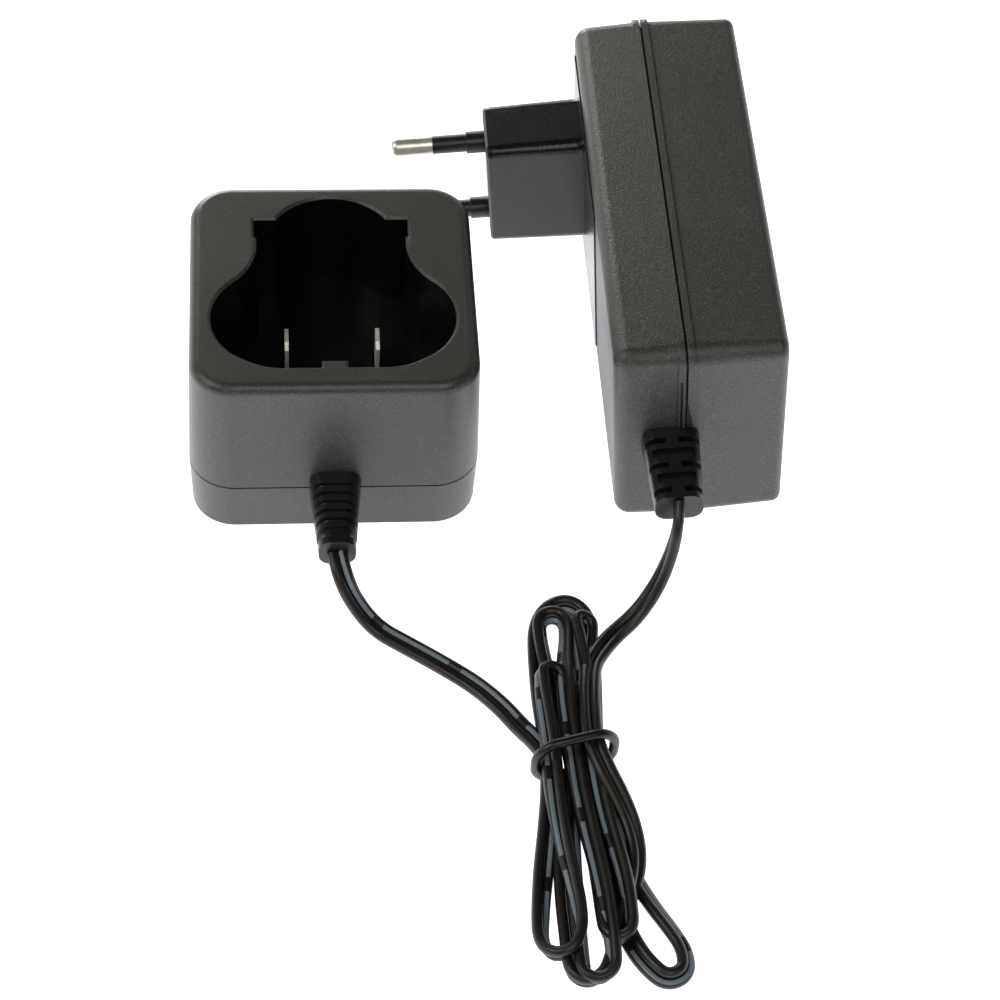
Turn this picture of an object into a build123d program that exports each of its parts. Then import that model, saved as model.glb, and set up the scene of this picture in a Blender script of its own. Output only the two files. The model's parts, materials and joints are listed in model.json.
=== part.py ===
from build123d import *
import os
from math import atan, degrees, radians, tan

# Battery charger for a cordless tool, in millimetres, +Z up.
#
# A charging cup with a three-lobed battery well stands on the table. A flat twin lead joins
# it to a wall adapter, which lies on its narrow side with its two pins pointing to -X.
# The spare lead is folded into a tied hank. Pieces are modelled round the cup's centre, and
# the finished set is moved so that the origin is under the middle of cup and adapter.

# ---------------------------------------------------------------- charging cup: casing
WELL_SIDE_MARGIN = 4.65    # from the well to the walls at the seam, left and right
WELL_BACK_MARGIN = 4.1     # from the well to the rear wall at the seam
WELL_FLOOR_HEIGHT = 16.8   # top of the well floor above the table
SEAM_HEIGHT = 12.3         # where shell and base meet
CUP_CORNER = 8.6           # plan radius of the four corners
SHELL_DRAFT = 1.8          # degrees, the shell narrows upwards
BASE_DRAFT = 1.6           # degrees, the base narrows downwards
RIM_RADIUS = 2.1           # round between top face and walls
FOOT_BEVEL = 0.8           # between bottom face and walls
CUP_WALL = 2.0
TOP_WALL = 2.4             # thickness of the shell's top face
BASE_FLOOR = 2.2           # thickness of the base plate
TONGUE_HEIGHT = 1.6        # locating tongue, above the seam
TONGUE_WALL = 1.1
TONGUE_ROOT = 2.5          # how far the tongue reaches down the wall that carries it
FIT = 0.12                 # clearance between mating plastic pieces
OVERCUT = 1.0              # how far a cutting form runs past the face it opens
SAME_PLACE = 0.01          # two heights or sides closer than this are the same
ROD_SIDES = 8              # sides of a swept rod's section

# ---------------------------------------------------------------- charging cup: battery well
WELL_DEPTH = 22.2
WELL_WALL = 1.8            # pocket wall and pocket floor
WELL_LIP = 0.5             # round along the well's edge
UPPER_LOBE_RADIUS = 12.3   # rear cell of the battery stem
UPPER_LOBE_Y = 10.2
LOWER_LOBE_RADIUS = 11.5   # two front cells, each a pair of circles hulled together
LOWER_LOBE_X = 11.0
LOWER_LOBE_Y = -7.9
LOBE_SHIFT_X = 1.5         # second circle of a front lobe, inwards
LOBE_SHIFT_Y = 0.8         # second circle of a front lobe, forwards
NOTCH_HALF = 14.5          # keyway ears beside the rear lobe
NOTCH_BACK = 16.9
NOTCH_LENGTH = 4.5
WAIST_HALF = 14.0
WAIST_ROUND = 12.5         # concave sweep from waist to front lobe
KEY_WIDTH = 4.8            # tongue that keys the battery, at the front edge
KEY_REACH = 1.6

CUP_WIDTH = 2 * (LOWER_LOBE_X + LOWER_LOBE_RADIUS + WELL_SIDE_MARGIN)
CUP_DEPTH = 2 * (UPPER_LOBE_Y + UPPER_LOBE_RADIUS + WELL_BACK_MARGIN)
CUP_HEIGHT = WELL_FLOOR_HEIGHT + WELL_DEPTH

# ---------------------------------------------------------------- charging cup: contacts and board
BLADE_SPACING = 17.2
BLADE_THICKNESS = 0.8
BLADE_LENGTH = 4.6         # along Y
BLADE_Y = 0.4              # middle of the blades
BLADE_RISE = 7.0           # above the well floor
BLADE_NOSE = 1.2           # bevel of the front top corner
BLADE_TAIL = 2.0           # narrow tail through the board
SLOT_SIDE = 0.4            # air beside a blade in its slot
SLOT_FRONT = 3.4           # the slot runs forwards past the blade
SLOT_BACK = 0.3
BOARD_SIZE = 30.0
BOARD_THICKNESS = 1.6
BOARD_HEIGHT = 6.4         # underside of the board
BOARD_FIT = 0.05           # clearance of a lead in its hole
PILLAR_RADIUS = 2.2
PILLAR_INSET = 2.6         # pillar centre from the board's edge
DIODE_RADIUS = 1.4
DIODE_LENGTH = 5.2
LEAD_RADIUS = 0.4
DIODE_Y = 9.0
DIODE_PITCH = 10.0

# ---------------------------------------------------------------- charging cup: screws
SCREW_INSET_X = 7.65       # screw axis from the walls at the seam
SCREW_INSET_Y = 8.6
SCREW_RADIUS = 1.45
SCREW_HEAD_RADIUS = 2.7
SCREW_HEAD_HEIGHT = 1.8
SCREW_LENGTH = 12.0
SCREW_FIT = 0.05
HEAD_FIT = 0.3
COLUMN_RADIUS = 3.75
COUNTERBORE_DEPTH = 4.0
RECESS_RADIUS = 1.1        # hexagonal driver recess
RECESS_DEPTH = 1.0

# ---------------------------------------------------------------- strain reliefs
RELIEF_LENGTH = 15.6
RELIEF_BASE_WIDTH = 9.6
RELIEF_BASE_HEIGHT = 8.4
RELIEF_END_WIDTH = 6.8
RELIEF_END_HEIGHT = 6.5
RELIEF_CORNER = 2.4
RELIEF_COLLAR = 2.3        # plain block next to the wall
RIB_PITCH = 1.95
RIB_WIDTH = 1.05
RIB_DEPTH = 0.75
RIB_COUNT = 5
END_RIM = 1.5              # plain rim round the cord's exit
NECK_WIDTH = 7.4           # throat in the wall
NECK_HEIGHT = 6.2
FLANGE_LENGTH = 1.6        # flange behind the wall
RELIEF_SEAT = 0.05         # air between collar and wall

SEGMENT_BASE_WIDTH = 10.6  # the adapter's relief is wider, with window slots
SEGMENT_BASE_HEIGHT = 8.0
SEGMENT_END_WIDTH = 8.8
SEGMENT_END_HEIGHT = 6.3
SEGMENT_X = -2.8           # beside the parting plane, in the pin shell
SEGMENT_PITCH = 2.75       # rows of slots
SEGMENT_FIRST = 2.7        # first row from the wall
SEGMENT_ROWS = 5
SIDE_SLOT = 1.2            # slots from the sides, rows 1, 3, 5
FACE_SLOT = 1.9            # slots from top and bottom, rows 2, 4
BRIDGE_WIDTH = 2.3
SLOT_DEPTH = 1.7
SIDE_WEB = 1.1

# ---------------------------------------------------------------- wall adapter: casing
ADAPTER_LENGTH = 91.2      # along Y, at the parting plane
ADAPTER_HEIGHT = 46.9      # along Z, at the parting plane
PIN_HALF = 13.1            # thickness of the half that carries the pins
COVER_HALF = 18.7
ADAPTER_CORNER = 3.6
ADAPTER_DRAFT = 2.2        # degrees, both halves narrow away from the parting plane
PIN_FACE_ROUND = 3.0
COVER_FACE_ROUND = 1.8
ADAPTER_WALL = 2.0
PIN_FACE_WALL = 2.6
RIDGE_HEIGHT = 0.5         # raised band on each side of the parting line
RIDGE_WIDTH = 1.3
PARTING_GAP = 0.4
PARTING_GROOVE = 0.5       # how deep the parting line is cut below the wall
ADAPTER_X = 64.65          # parting plane from the cup's centre
ADAPTER_Y = 19.4           # middle of the adapter from the cup's centre
DRIP_SLOT_TOP = 17.0       # slot in the pin shell's band above the cord, local Z
DRIP_SLOT_WIDTH = 0.5
DRIP_SLOT_X = -0.95
WEDGE_TOP = 12.3           # wedge cut from the cover's band above the cord, local Z
WEDGE_BOTTOM_WIDTH = 1.35
BAND_CUT_DEPTH = 0.3       # slot and wedge go this far below the wall

# ---------------------------------------------------------------- wall adapter: plug
INSERT_FRONT = -5.0        # front edge of the plug's plate, local Y
INSERT_MARGIN = 4.4        # face left bare round the plate's other three sides
INSERT_PLATE = 1.5
INSERT_PROUD = 0.3
INSERT_CORNER = 2.0
INSERT_GAP = 0.25
NECK_BACK_MARGIN = 18.1    # middle of the plug neck from the casing's rear end
NECK_Y = ADAPTER_LENGTH / 2 - NECK_BACK_MARGIN
PLUG_NECK_LENGTH = 19.4    # from the pin face
PLUG_NECK_DEPTH = 13.9     # along Y, at the end that carries the pins
PLUG_NECK_HEIGHT = 25.7    # along Z, at the same end
PLUG_NECK_DRAFT = 1.6
PLUG_NECK_CORNER = 2.5
PLUG_END_BEVEL = 0.5
PIN_SPACING = 18.4
PIN_LENGTH = 19.0          # standing out of the neck
PIN_RADIUS = 2.0
PIN_METAL = 8.6            # bare metal tip
PIN_NOSE = 1.6             # round of the tip
PIN_CORE_RADIUS = 1.3
PIN_TAIL_RADIUS = 0.8
SLEEVE_RADIUS = 1.8
SLEEVE_COLLAR_RADIUS = 2.2
SLEEVE_COLLAR = 3.7
SLEEVE_SPIGOT = 2.5        # collar set into the neck
PIN_FIT = 0.05

# ---------------------------------------------------------------- wall adapter: inside
BOARD_END_AIR = 2.6        # board to the casing's inner end walls at the parting plane
BOARD_SIDE_AIR = 2.45
MAIN_BOARD_LENGTH = ADAPTER_LENGTH - 2 * (ADAPTER_WALL + BOARD_END_AIR)
MAIN_BOARD_HEIGHT = ADAPTER_HEIGHT - 2 * (ADAPTER_WALL + BOARD_SIDE_AIR)
MAIN_BOARD_X = -7.4        # face of the board towards the pin shell
MAIN_PILLAR_RADIUS = 2.6
MAIN_PILLAR_INSET = 3.6
TAIL_OUT = 1.2             # solder tails beyond a board
COMPONENT_AIR = 0.05       # body above the board
NEIGHBOUR_AIR = 0.6        # between components that stand side by side

# Components: places are local (Y, Z) on the main board, heights are above its face. The
# mains side is placed from the plug neck, the output side from the board's front end.
BOARD_MARGIN = 2.0         # from a component's body to the board's edge beside it
BOARD_FRONT = -MAIN_BOARD_LENGTH / 2
BOARD_TOP = MAIN_BOARD_HEIGHT / 2
WIRE_ROOM = 12.0           # board left to the wires in front of the output capacitor
MAINS_CAN_RADIUS = 6.8     # between the pin tails, on the neck's axis
MAINS_CAN_HEIGHT = 19.0
OUTPUT_CAN_RADIUS = 5.0
OUTPUT_CAN_HEIGHT = 16.0
OUTPUT_DIODE_RADIUS = 2.4
OUTPUT_DIODE_LENGTH = 9.0
OUTPUT_DIODE_PITCH = 12.0
OUTPUT_DIODE_LEAD = 0.6
OUTPUT_DIODE_Z = BOARD_TOP - BOARD_MARGIN - OUTPUT_DIODE_RADIUS
OUTPUT_CAN_Y = BOARD_FRONT + WIRE_ROOM + OUTPUT_CAN_RADIUS
OUTPUT_CAN_Z = OUTPUT_DIODE_Z - OUTPUT_DIODE_RADIUS - NEIGHBOUR_AIR - OUTPUT_CAN_RADIUS
OUTPUT_CAN_PLACE = (OUTPUT_CAN_Y, OUTPUT_CAN_Z)
OUTPUT_DIODE_PLACE = (OUTPUT_CAN_Y + OUTPUT_CAN_RADIUS, OUTPUT_DIODE_Z)
CRIMP_HEIGHT = 2.0         # groove near a can's foot
CRIMP_LENGTH = 1.0
CRIMP_DEPTH = 0.5
FUSE_RADIUS = 2.5
FUSE_LENGTH = 19.0
FUSE_CAP = 4.6
FUSE_STEP = 0.3            # glass below the caps
FUSE_CLIP = 2.0
CORE_LENGTH = 20.0
CORE_THICKNESS = 6.5
CORE_RAISE = 6.0           # core above the board, carried by the bobbin
CORE_YOKE = 3.6
CORE_MIDDLE_LEG = 6.0
CORE_SIDE_LEG = 2.8
CORE_WINDOW = 4.2
COIL_AIR = 0.2
COIL_OVER = 2.5            # winding beyond the core's faces
COIL_ROUND = 2.0
BOBBIN_FOOT = 2.0
CHOKE_RADIUS = 6.0
CHOKE_HOLE = 2.6
CHOKE_WIDTH = 5.0
CHOKE_Y = NECK_Y - MAINS_CAN_RADIUS - NEIGHBOUR_AIR - CHOKE_WIDTH / 2
CHOKE_PLACE = (CHOKE_Y, CHOKE_RADIUS + BOARD_MARGIN - BOARD_TOP)
RECTIFIER_LENGTH = 14.0
RECTIFIER_HEIGHT = 11.0
RECTIFIER_THICKNESS = 3.4
RECTIFIER_CORNER = 2.0
RECTIFIER_Y = CHOKE_Y - (CHOKE_WIDTH + RECTIFIER_THICKNESS) / 2 - NEIGHBOUR_AIR
RECTIFIER_PLACE = (RECTIFIER_Y, RECTIFIER_LENGTH / 2 + BOARD_MARGIN - BOARD_TOP)
CORE_GAP_START = OUTPUT_CAN_Y + OUTPUT_CAN_RADIUS
CORE_GAP_END = RECTIFIER_Y - RECTIFIER_THICKNESS / 2
CORE_Y = (CORE_GAP_START + CORE_GAP_END) / 2
SINK_LENGTH = 14.5
SINK_HEIGHT = 17.0
SINK_PLATE = 1.5
SINK_PLACE = (CHOKE_Y, BOARD_TOP - BOARD_MARGIN - SINK_PLATE / 2)
SINK_FOLD = 3.6            # turned edge over the transistor
TRANSISTOR_WIDTH = 10.0
TRANSISTOR_HEIGHT = 8.0
TRANSISTOR_THICKNESS = 4.4
TRANSISTOR_RAISE = 4.0
TRANSISTOR_LEADS = 0.6     # thickness of the lead strip
COUPLER_LENGTH = 6.5       # along Z
COUPLER_WIDTH = 4.6
COUPLER_HEIGHT = 3.5
COUPLER_BEVEL = 0.5
COUPLER_PIN = 0.6
COUPLER_PITCH = 2.5
COUPLER_PLACE = (OUTPUT_DIODE_PLACE[0], COUPLER_LENGTH / 2 + BOARD_MARGIN - BOARD_TOP)

# ---------------------------------------------------------------- twin lead
LEAD_WIDTH = 3.9           # across both cores
LEAD_THICKNESS = 2.0
LEAD_ROUND_RADIUS = 1.45   # of the plain lead that has about the same section area
WIRE_RADIUS = 0.6          # single inner wires
WIRE_SPACING = 2.0
WIRE_BEND = 5.0            # steps of the inner wires from relief to board
EXIT_RISE = 1.2            # the adapter's lead leaves above the middle of the relief

# The lead's free stretches, from each relief to the hank, round the cup's centre.
CUP_LEAD_ROUTE = [
    (0.5, -46.2, 11.6),
    (2.0, -49.0, 6.4),
    (6.4, -52.4, 1.9),
    (13.0, -56.5, 1.5),
    (20.2, -61.2, 1.5),
    (27.0, -66.4, 1.5),
    (31.2, -72.4, 1.9),
    (36.0, -77.0, 4.2),
]
ADAPTER_LEAD_ROUTE = [
    (61.4, -45.6, 23.6),
    (60.6, -47.2, 17.0),
    (58.2, -50.2, 11.0),
    (54.4, -53.6, 6.6),
    (49.6, -57.0, 4.8),
    (46.2, -62.0, 5.4),
]

# ---------------------------------------------------------------- hank and tie
TIE_BAND = 1.8             # diameter of the round tie
TIE_FIT = 0.1
TIE_TURN = 14.0            # degrees that the tie is twisted across the hank
WAIST_WIDTH = 12.2         # hank inside the tie
WAIST_HEIGHT = 8.4
WAIST_LOW = TIE_BAND + 2 * TIE_FIT
WAIST_TOP = WAIST_LOW + WAIST_HEIGHT

# Stations down the hank's middle line: x, y, width, underside, top.
HANK_STATIONS = [
    (42.4, -45.8, 4.0, 0.6, 2.6),
    (42.2, -48.5, 9.0, 0.0, 4.2),
    (41.3, -57.0, 14.2, 0.0, 6.4),
    (41.0, -66.0, 14.0, 0.3, 7.8),
    (40.3, -74.0, 13.2, 1.0, WAIST_TOP - 0.6),
    (40.7, -79.5, WAIST_WIDTH, WAIST_LOW, WAIST_TOP),
    (40.9, -87.0, WAIST_WIDTH, WAIST_LOW, WAIST_TOP),
    (41.6, -92.0, 13.4, 0.6, WAIST_TOP - 1.0),
    (42.4, -100.0, 17.2, 0.0, 7.2),
    (40.9, -108.0, 18.4, 0.0, 6.2),
    (39.9, -115.0, 18.0, 0.0, 5.4),
    (39.2, -121.0, 13.0, 0.0, 4.4),
    (38.6, -125.8, 5.0, 0.6, 3.2),
]
STATION_ROUND = 0.42       # corner of a station's section, as a share of its smaller side
SIDE_LOOP_START = (48.0, -108.0)
SIDE_LOOP_END = (54.2, -122.0)
SIDE_LOOP_WIDTH = 8.8
SIDE_LOOP_HEIGHT = 4.0
TIE_STATION_COUNT = 5      # stations before the pair that the tie sits between


# ================================================================ shared helpers
def rounded_block(width, depth, corner, height, draft):
    """A block with rounded upright edges, from z = 0 up, narrowing by draft degrees."""
    return extrude(RectangleRounded(width, depth, corner), amount=height, taper=draft)


def shrink(height, draft):
    """How far one drafted wall moves inwards over a height."""
    return height * tan(radians(draft))


def upright_rod(x, y, bottom, top, radius):
    """A round rod between two heights."""
    return Pos(x, y, (bottom + top) / 2) * Cylinder(radius, top - bottom)


def lying_rod(x_start, x_end, y, z, radius):
    """A round rod along X."""
    place = Pos((x_start + x_end) / 2, y, z) * Rot(0, 90, 0)
    return place * Cylinder(radius, abs(x_end - x_start))


def box_between(x, y, z):
    """A box between the limits given as (low, high) pairs."""
    middle = [(low + high) / 2 for low, high in (x, y, z)]
    return Pos(*middle) * Box(x[1] - x[0], y[1] - y[0], z[1] - z[0])


def swept_rod(points, radius, share=0.45):
    """A round rod along straight runs that tangent arcs join, each as large as fits."""
    vectors = [Vector(*point) for point in points]
    radii = []
    for before, corner, after in zip(vectors, vectors[1:], vectors[2:]):
        turn = radians((corner - before).get_angle(after - corner))
        shorter = min((corner - before).length, (after - corner).length)
        radii.append(share * shorter / tan(turn / 2))
    path = FilletPolyline(*vectors, radius=radii)
    start = Plane(origin=vectors[0], z_dir=vectors[1] - vectors[0])
    rod = sweep(start * RegularPolygon(radius, ROD_SIDES), path=path)
    return rod, radii, path


# ================================================================ charging cup
def well_outline():
    """Plan of the battery well: a rear lobe with ears, a waist, two front lobes, a key."""
    front = LOWER_LOBE_Y - LOBE_SHIFT_Y - LOWER_LOBE_RADIUS
    lobes = Sketch()
    for side in (-1, 1):
        outer = Pos(side * LOWER_LOBE_X, LOWER_LOBE_Y) * Circle(LOWER_LOBE_RADIUS)
        inner_x = side * (LOWER_LOBE_X - LOBE_SHIFT_X)
        inner = Pos(inner_x, LOWER_LOBE_Y - LOBE_SHIFT_Y) * Circle(LOWER_LOBE_RADIUS)
        lobes += make_hull(outer.edges() + inner.edges())
    band_width = 2 * (LOWER_LOBE_X - LOBE_SHIFT_X)
    notch_front = NOTCH_BACK - NOTCH_LENGTH
    band = Pos(0, (front + LOWER_LOBE_Y) / 2) * Rectangle(band_width, LOWER_LOBE_Y - front)
    waist_span = notch_front - LOWER_LOBE_Y
    waist = Pos(0, (notch_front + LOWER_LOBE_Y) / 2) * Rectangle(2 * WAIST_HALF, waist_span)
    body = lobes + band + waist
    waist_corners = [
        vertex for vertex in body.vertices()
        if abs(abs(vertex.X) - WAIST_HALF) < SAME_PLACE
        and LOWER_LOBE_Y < vertex.Y < notch_front - SAME_PLACE
    ]
    body = fillet(waist_corners, WAIST_ROUND)
    ears = Pos(0, NOTCH_BACK - NOTCH_LENGTH / 2) * Rectangle(2 * NOTCH_HALF, NOTCH_LENGTH)
    rear = Pos(0, UPPER_LOBE_Y) * Circle(UPPER_LOBE_RADIUS)
    key = Pos(0, front + KEY_REACH / 2) * Rectangle(KEY_WIDTH, KEY_REACH)
    return body + ears + rear - key


def relief_throat(width, height, length, air):
    """The opening that a strain relief's neck passes through, along Y round the origin."""
    return Box(width + 2 * air, length, height + 2 * air)


def screw_places():
    """Plan positions of the cup's four screws."""
    x = CUP_WIDTH / 2 - SCREW_INSET_X
    y = CUP_DEPTH / 2 - SCREW_INSET_Y
    return [(side_x * x, side_y * y) for side_x in (-1, 1) for side_y in (-1, 1)]


def cup_shell():
    """Upper shell: drafted walls, rounded rim, pocket for the battery and screw bosses."""
    height = CUP_HEIGHT - SEAM_HEIGHT
    outside = rounded_block(CUP_WIDTH, CUP_DEPTH, CUP_CORNER, height, SHELL_DRAFT)
    outside = fillet(outside.faces().sort_by(Axis.Z)[-1].edges(), RIM_RADIUS)
    inner_width = CUP_WIDTH - 2 * CUP_WALL
    inner_depth = CUP_DEPTH - 2 * CUP_WALL
    inner_corner = CUP_CORNER - CUP_WALL
    inside = rounded_block(inner_width, inner_depth, inner_corner, height - TOP_WALL, SHELL_DRAFT)
    outline = well_outline()
    pocket_floor = height - WELL_DEPTH
    pocket_height = WELL_DEPTH + WELL_WALL - TOP_WALL / 2
    pocket = offset(outline, WELL_WALL)
    pocket = Pos(0, 0, pocket_floor - WELL_WALL) * extrude(pocket, amount=pocket_height)
    shell = outside - inside
    for x, y in screw_places():
        shell += upright_rod(x, y, 0, height - TOP_WALL / 2, COLUMN_RADIUS)
    shell += pocket & (outside + inside)
    shell -= Pos(0, 0, pocket_floor) * extrude(outline, amount=WELL_DEPTH + OVERCUT)
    lip = [
        edge for edge in shell.edges().filter_by_position(Axis.Z, height - SAME_PLACE, height + SAME_PLACE)
        if edge.bounding_box().size.X < CUP_WIDTH / 2 and inside_rim(edge)
    ]
    shell = chamfer(lip, WELL_LIP)
    bottom, top = blade_slot_heights()
    for side in (-1, 1):
        shell -= Pos(0, 0, -SEAM_HEIGHT) * blade_slot(side, bottom, top)
    for x, y in screw_places():
        tip = screw_bottom() + SCREW_HEAD_HEIGHT + SCREW_LENGTH - SEAM_HEIGHT
        shell -= upright_rod(x, y, -OVERCUT, tip + OVERCUT, SCREW_RADIUS + SCREW_FIT)
    throat = relief_throat(NECK_WIDTH, NECK_HEIGHT, 3 * CUP_WALL, FIT)
    shell -= Pos(0, -CUP_DEPTH / 2, 0) * throat
    return Pos(0, 0, SEAM_HEIGHT) * shell


def inside_rim(edge):
    """Whether an edge of the top face borders the well and not the outer rim."""
    middle = edge.center()
    clear = RIM_RADIUS + WELL_LIP
    return abs(middle.X) < CUP_WIDTH / 2 - clear and abs(middle.Y) < CUP_DEPTH / 2 - clear


def cup_base():
    """Lower shell: drafted tray with a tongue, screw columns and board pillars."""
    outside = rounded_block(CUP_WIDTH, CUP_DEPTH, CUP_CORNER, SEAM_HEIGHT, BASE_DRAFT)
    outside = chamfer(outside.faces().sort_by(Axis.Z)[-1].edges(), FOOT_BEVEL)
    inner_width = CUP_WIDTH - 2 * CUP_WALL
    inner_depth = CUP_DEPTH - 2 * CUP_WALL
    inner_corner = CUP_CORNER - CUP_WALL
    depth_inside = SEAM_HEIGHT - BASE_FLOOR
    inside = rounded_block(inner_width, inner_depth, inner_corner, depth_inside, BASE_DRAFT)
    tray = Pos(0, 0, SEAM_HEIGHT) * mirror(outside - inside, about=Plane.XY)
    edge = FIT + shrink(TONGUE_HEIGHT, SHELL_DRAFT)
    tongue_width = inner_width - 2 * edge
    tongue_depth = inner_depth - 2 * edge
    tongue = RectangleRounded(tongue_width, tongue_depth, inner_corner - edge)
    tongue_hole = offset(tongue, -TONGUE_WALL)
    tongue = extrude(tongue - tongue_hole, amount=TONGUE_HEIGHT + TONGUE_ROOT)
    root = RectangleRounded(inner_width + CUP_WALL, inner_depth + CUP_WALL, inner_corner)
    root -= tongue_hole
    root = Pos(0, 0, SEAM_HEIGHT - TONGUE_ROOT) * extrude(root, amount=TONGUE_ROOT)
    outer_form = Pos(0, 0, SEAM_HEIGHT) * mirror(outside, about=Plane.XY)
    tray += root & outer_form
    tray += Pos(0, 0, SEAM_HEIGHT - TONGUE_ROOT) * tongue
    pillar = BOARD_SIZE / 2 - PILLAR_INSET
    for x in (-pillar, pillar):
        for y in (-pillar, pillar):
            tray += upright_rod(x, y, BASE_FLOOR / 2, BOARD_HEIGHT, PILLAR_RADIUS)
    for x, y in screw_places():
        tray += upright_rod(x, y, BASE_FLOOR / 2, SEAM_HEIGHT, COLUMN_RADIUS)
    bore_radius = SCREW_HEAD_RADIUS + HEAD_FIT
    for x, y in screw_places():
        tray -= upright_rod(x, y, -OVERCUT, COUNTERBORE_DEPTH, bore_radius)
        tray -= upright_rod(x, y, -OVERCUT, SEAM_HEIGHT + OVERCUT, SCREW_RADIUS + SCREW_FIT)
    throat = relief_throat(NECK_WIDTH, NECK_HEIGHT, 3 * CUP_WALL, FIT)
    tray -= Pos(0, -CUP_DEPTH / 2, SEAM_HEIGHT) * throat
    flange = relief_throat(RELIEF_BASE_WIDTH, RELIEF_BASE_HEIGHT, FLANGE_LENGTH + 2 * FIT, FIT)
    tray -= Pos(0, flange_middle(), SEAM_HEIGHT) * flange
    return tray


def screw_bottom():
    """Height of a screw's head face above the table."""
    return COUNTERBORE_DEPTH - SCREW_HEAD_HEIGHT


def cup_screws():
    """Four self-tapping screws that enter from below."""
    head_top = screw_bottom() + SCREW_HEAD_HEIGHT
    screw = upright_rod(0, 0, screw_bottom(), head_top, SCREW_HEAD_RADIUS)
    screw += upright_rod(0, 0, head_top, head_top + SCREW_LENGTH, SCREW_RADIUS)
    socket = extrude(RegularPolygon(RECESS_RADIUS, 6), amount=RECESS_DEPTH)
    screw -= Pos(0, 0, screw_bottom()) * socket
    group = Part()
    for x, y in screw_places():
        group += Pos(x, y, 0) * screw
    return group


def blade_slot_heights():
    """Underside and top of the slot that a contact blade rises through."""
    floor = CUP_HEIGHT - WELL_DEPTH
    return floor - WELL_WALL - OVERCUT, floor + OVERCUT


def blade_slot(side, bottom, top):
    """The slot round one contact blade, which runs on in front of it."""
    half = BLADE_THICKNESS / 2 + SLOT_SIDE
    middle = side * BLADE_SPACING / 2
    front = BLADE_Y - BLADE_LENGTH / 2 - SLOT_FRONT
    back = BLADE_Y + BLADE_LENGTH / 2 + SLOT_BACK
    return box_between((middle - half, middle + half), (front, back), (bottom, top))


def contact_blade(side):
    """A brass blade with a bevelled nose, a shoulder on the board and a solder tail."""
    top = CUP_HEIGHT - WELL_DEPTH + BLADE_RISE
    shoulder = BOARD_HEIGHT + BOARD_THICKNESS
    front = BLADE_Y - BLADE_LENGTH / 2
    back = BLADE_Y + BLADE_LENGTH / 2
    tail_half = BLADE_TAIL / 2
    profile = Polyline(
        (front, shoulder),
        (front, top - BLADE_NOSE),
        (front + BLADE_NOSE, top),
        (back, top),
        (back, shoulder),
        (BLADE_Y + tail_half, shoulder),
        (BLADE_Y + tail_half, BOARD_HEIGHT - TAIL_OUT),
        (BLADE_Y - tail_half, BOARD_HEIGHT - TAIL_OUT),
        (BLADE_Y - tail_half, shoulder),
        close=True,
    )
    blade = extrude(Plane.YZ * make_face(profile), amount=BLADE_THICKNESS / 2, both=True)
    return Pos(side * BLADE_SPACING / 2, 0, 0) * blade


def cup_board():
    """Square board on the base's pillars, with holes for blades, diode and wires."""
    half = BOARD_SIZE / 2
    board = box_between((-half, half), (-half, half), (BOARD_HEIGHT, BOARD_HEIGHT + BOARD_THICKNESS))
    for side in (-1, 1):
        x = side * BLADE_SPACING / 2
        width = BLADE_THICKNESS + 2 * BOARD_FIT
        length = BLADE_TAIL + 2 * BOARD_FIT
        board -= Pos(x, BLADE_Y, BOARD_HEIGHT) * Box(width, length, 4 * BOARD_THICKNESS)
        hole = LEAD_RADIUS + BOARD_FIT
        board -= upright_rod(side * DIODE_PITCH / 2, DIODE_Y, 0, CUP_HEIGHT / 2, hole)
    return board


def cup_diode():
    """Blocking diode that lies on the board, with its two bent leads."""
    axis_height = BOARD_HEIGHT + BOARD_THICKNESS + DIODE_RADIUS + COMPONENT_AIR
    body = lying_rod(-DIODE_LENGTH / 2, DIODE_LENGTH / 2, DIODE_Y, axis_height, DIODE_RADIUS)
    half = DIODE_PITCH / 2
    body += lying_rod(-half, half, DIODE_Y, axis_height, LEAD_RADIUS)
    for side in (-1, 1):
        body += upright_rod(side * half, DIODE_Y, BOARD_HEIGHT - TAIL_OUT, axis_height, LEAD_RADIUS)
    return body


def flange_middle():
    """Y of the middle of the relief's flange behind the cup's front wall."""
    return -CUP_DEPTH / 2 + CUP_WALL + FIT + shrink(NECK_HEIGHT, SHELL_DRAFT) + FLANGE_LENGTH / 2


# ================================================================ strain reliefs
def relief_section(distance, base, end, inset):
    """Rounded section of a relief at a distance from the wall, made smaller by inset."""
    share = distance / RELIEF_LENGTH
    width = base[0] + (end[0] - base[0]) * share - 2 * inset
    height = base[1] + (end[1] - base[1]) * share - 2 * inset
    corner = RELIEF_CORNER - inset / 2
    return Plane.XZ.offset(distance) * RectangleRounded(width, height, corner)


def relief_slice(start, stop, base, end, inset=0.0):
    """The relief's tapered form between two distances from the wall."""
    sections = [relief_section(distance, base, end, inset) for distance in (start, stop)]
    return loft(sections, ruled=True)


def relief_anchor(base, wall):
    """Neck through the wall and flange behind it, along +Y from the collar."""
    reach = wall + RELIEF_SEAT
    neck = Pos(0, reach / 2, 0) * Box(NECK_WIDTH, reach, NECK_HEIGHT)
    flange = Pos(0, reach + FLANGE_LENGTH / 2, 0) * Box(base[0], FLANGE_LENGTH, base[1])
    flange = fillet(flange.edges().filter_by(Axis.Y), RELIEF_CORNER / 2)
    return neck + flange


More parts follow.
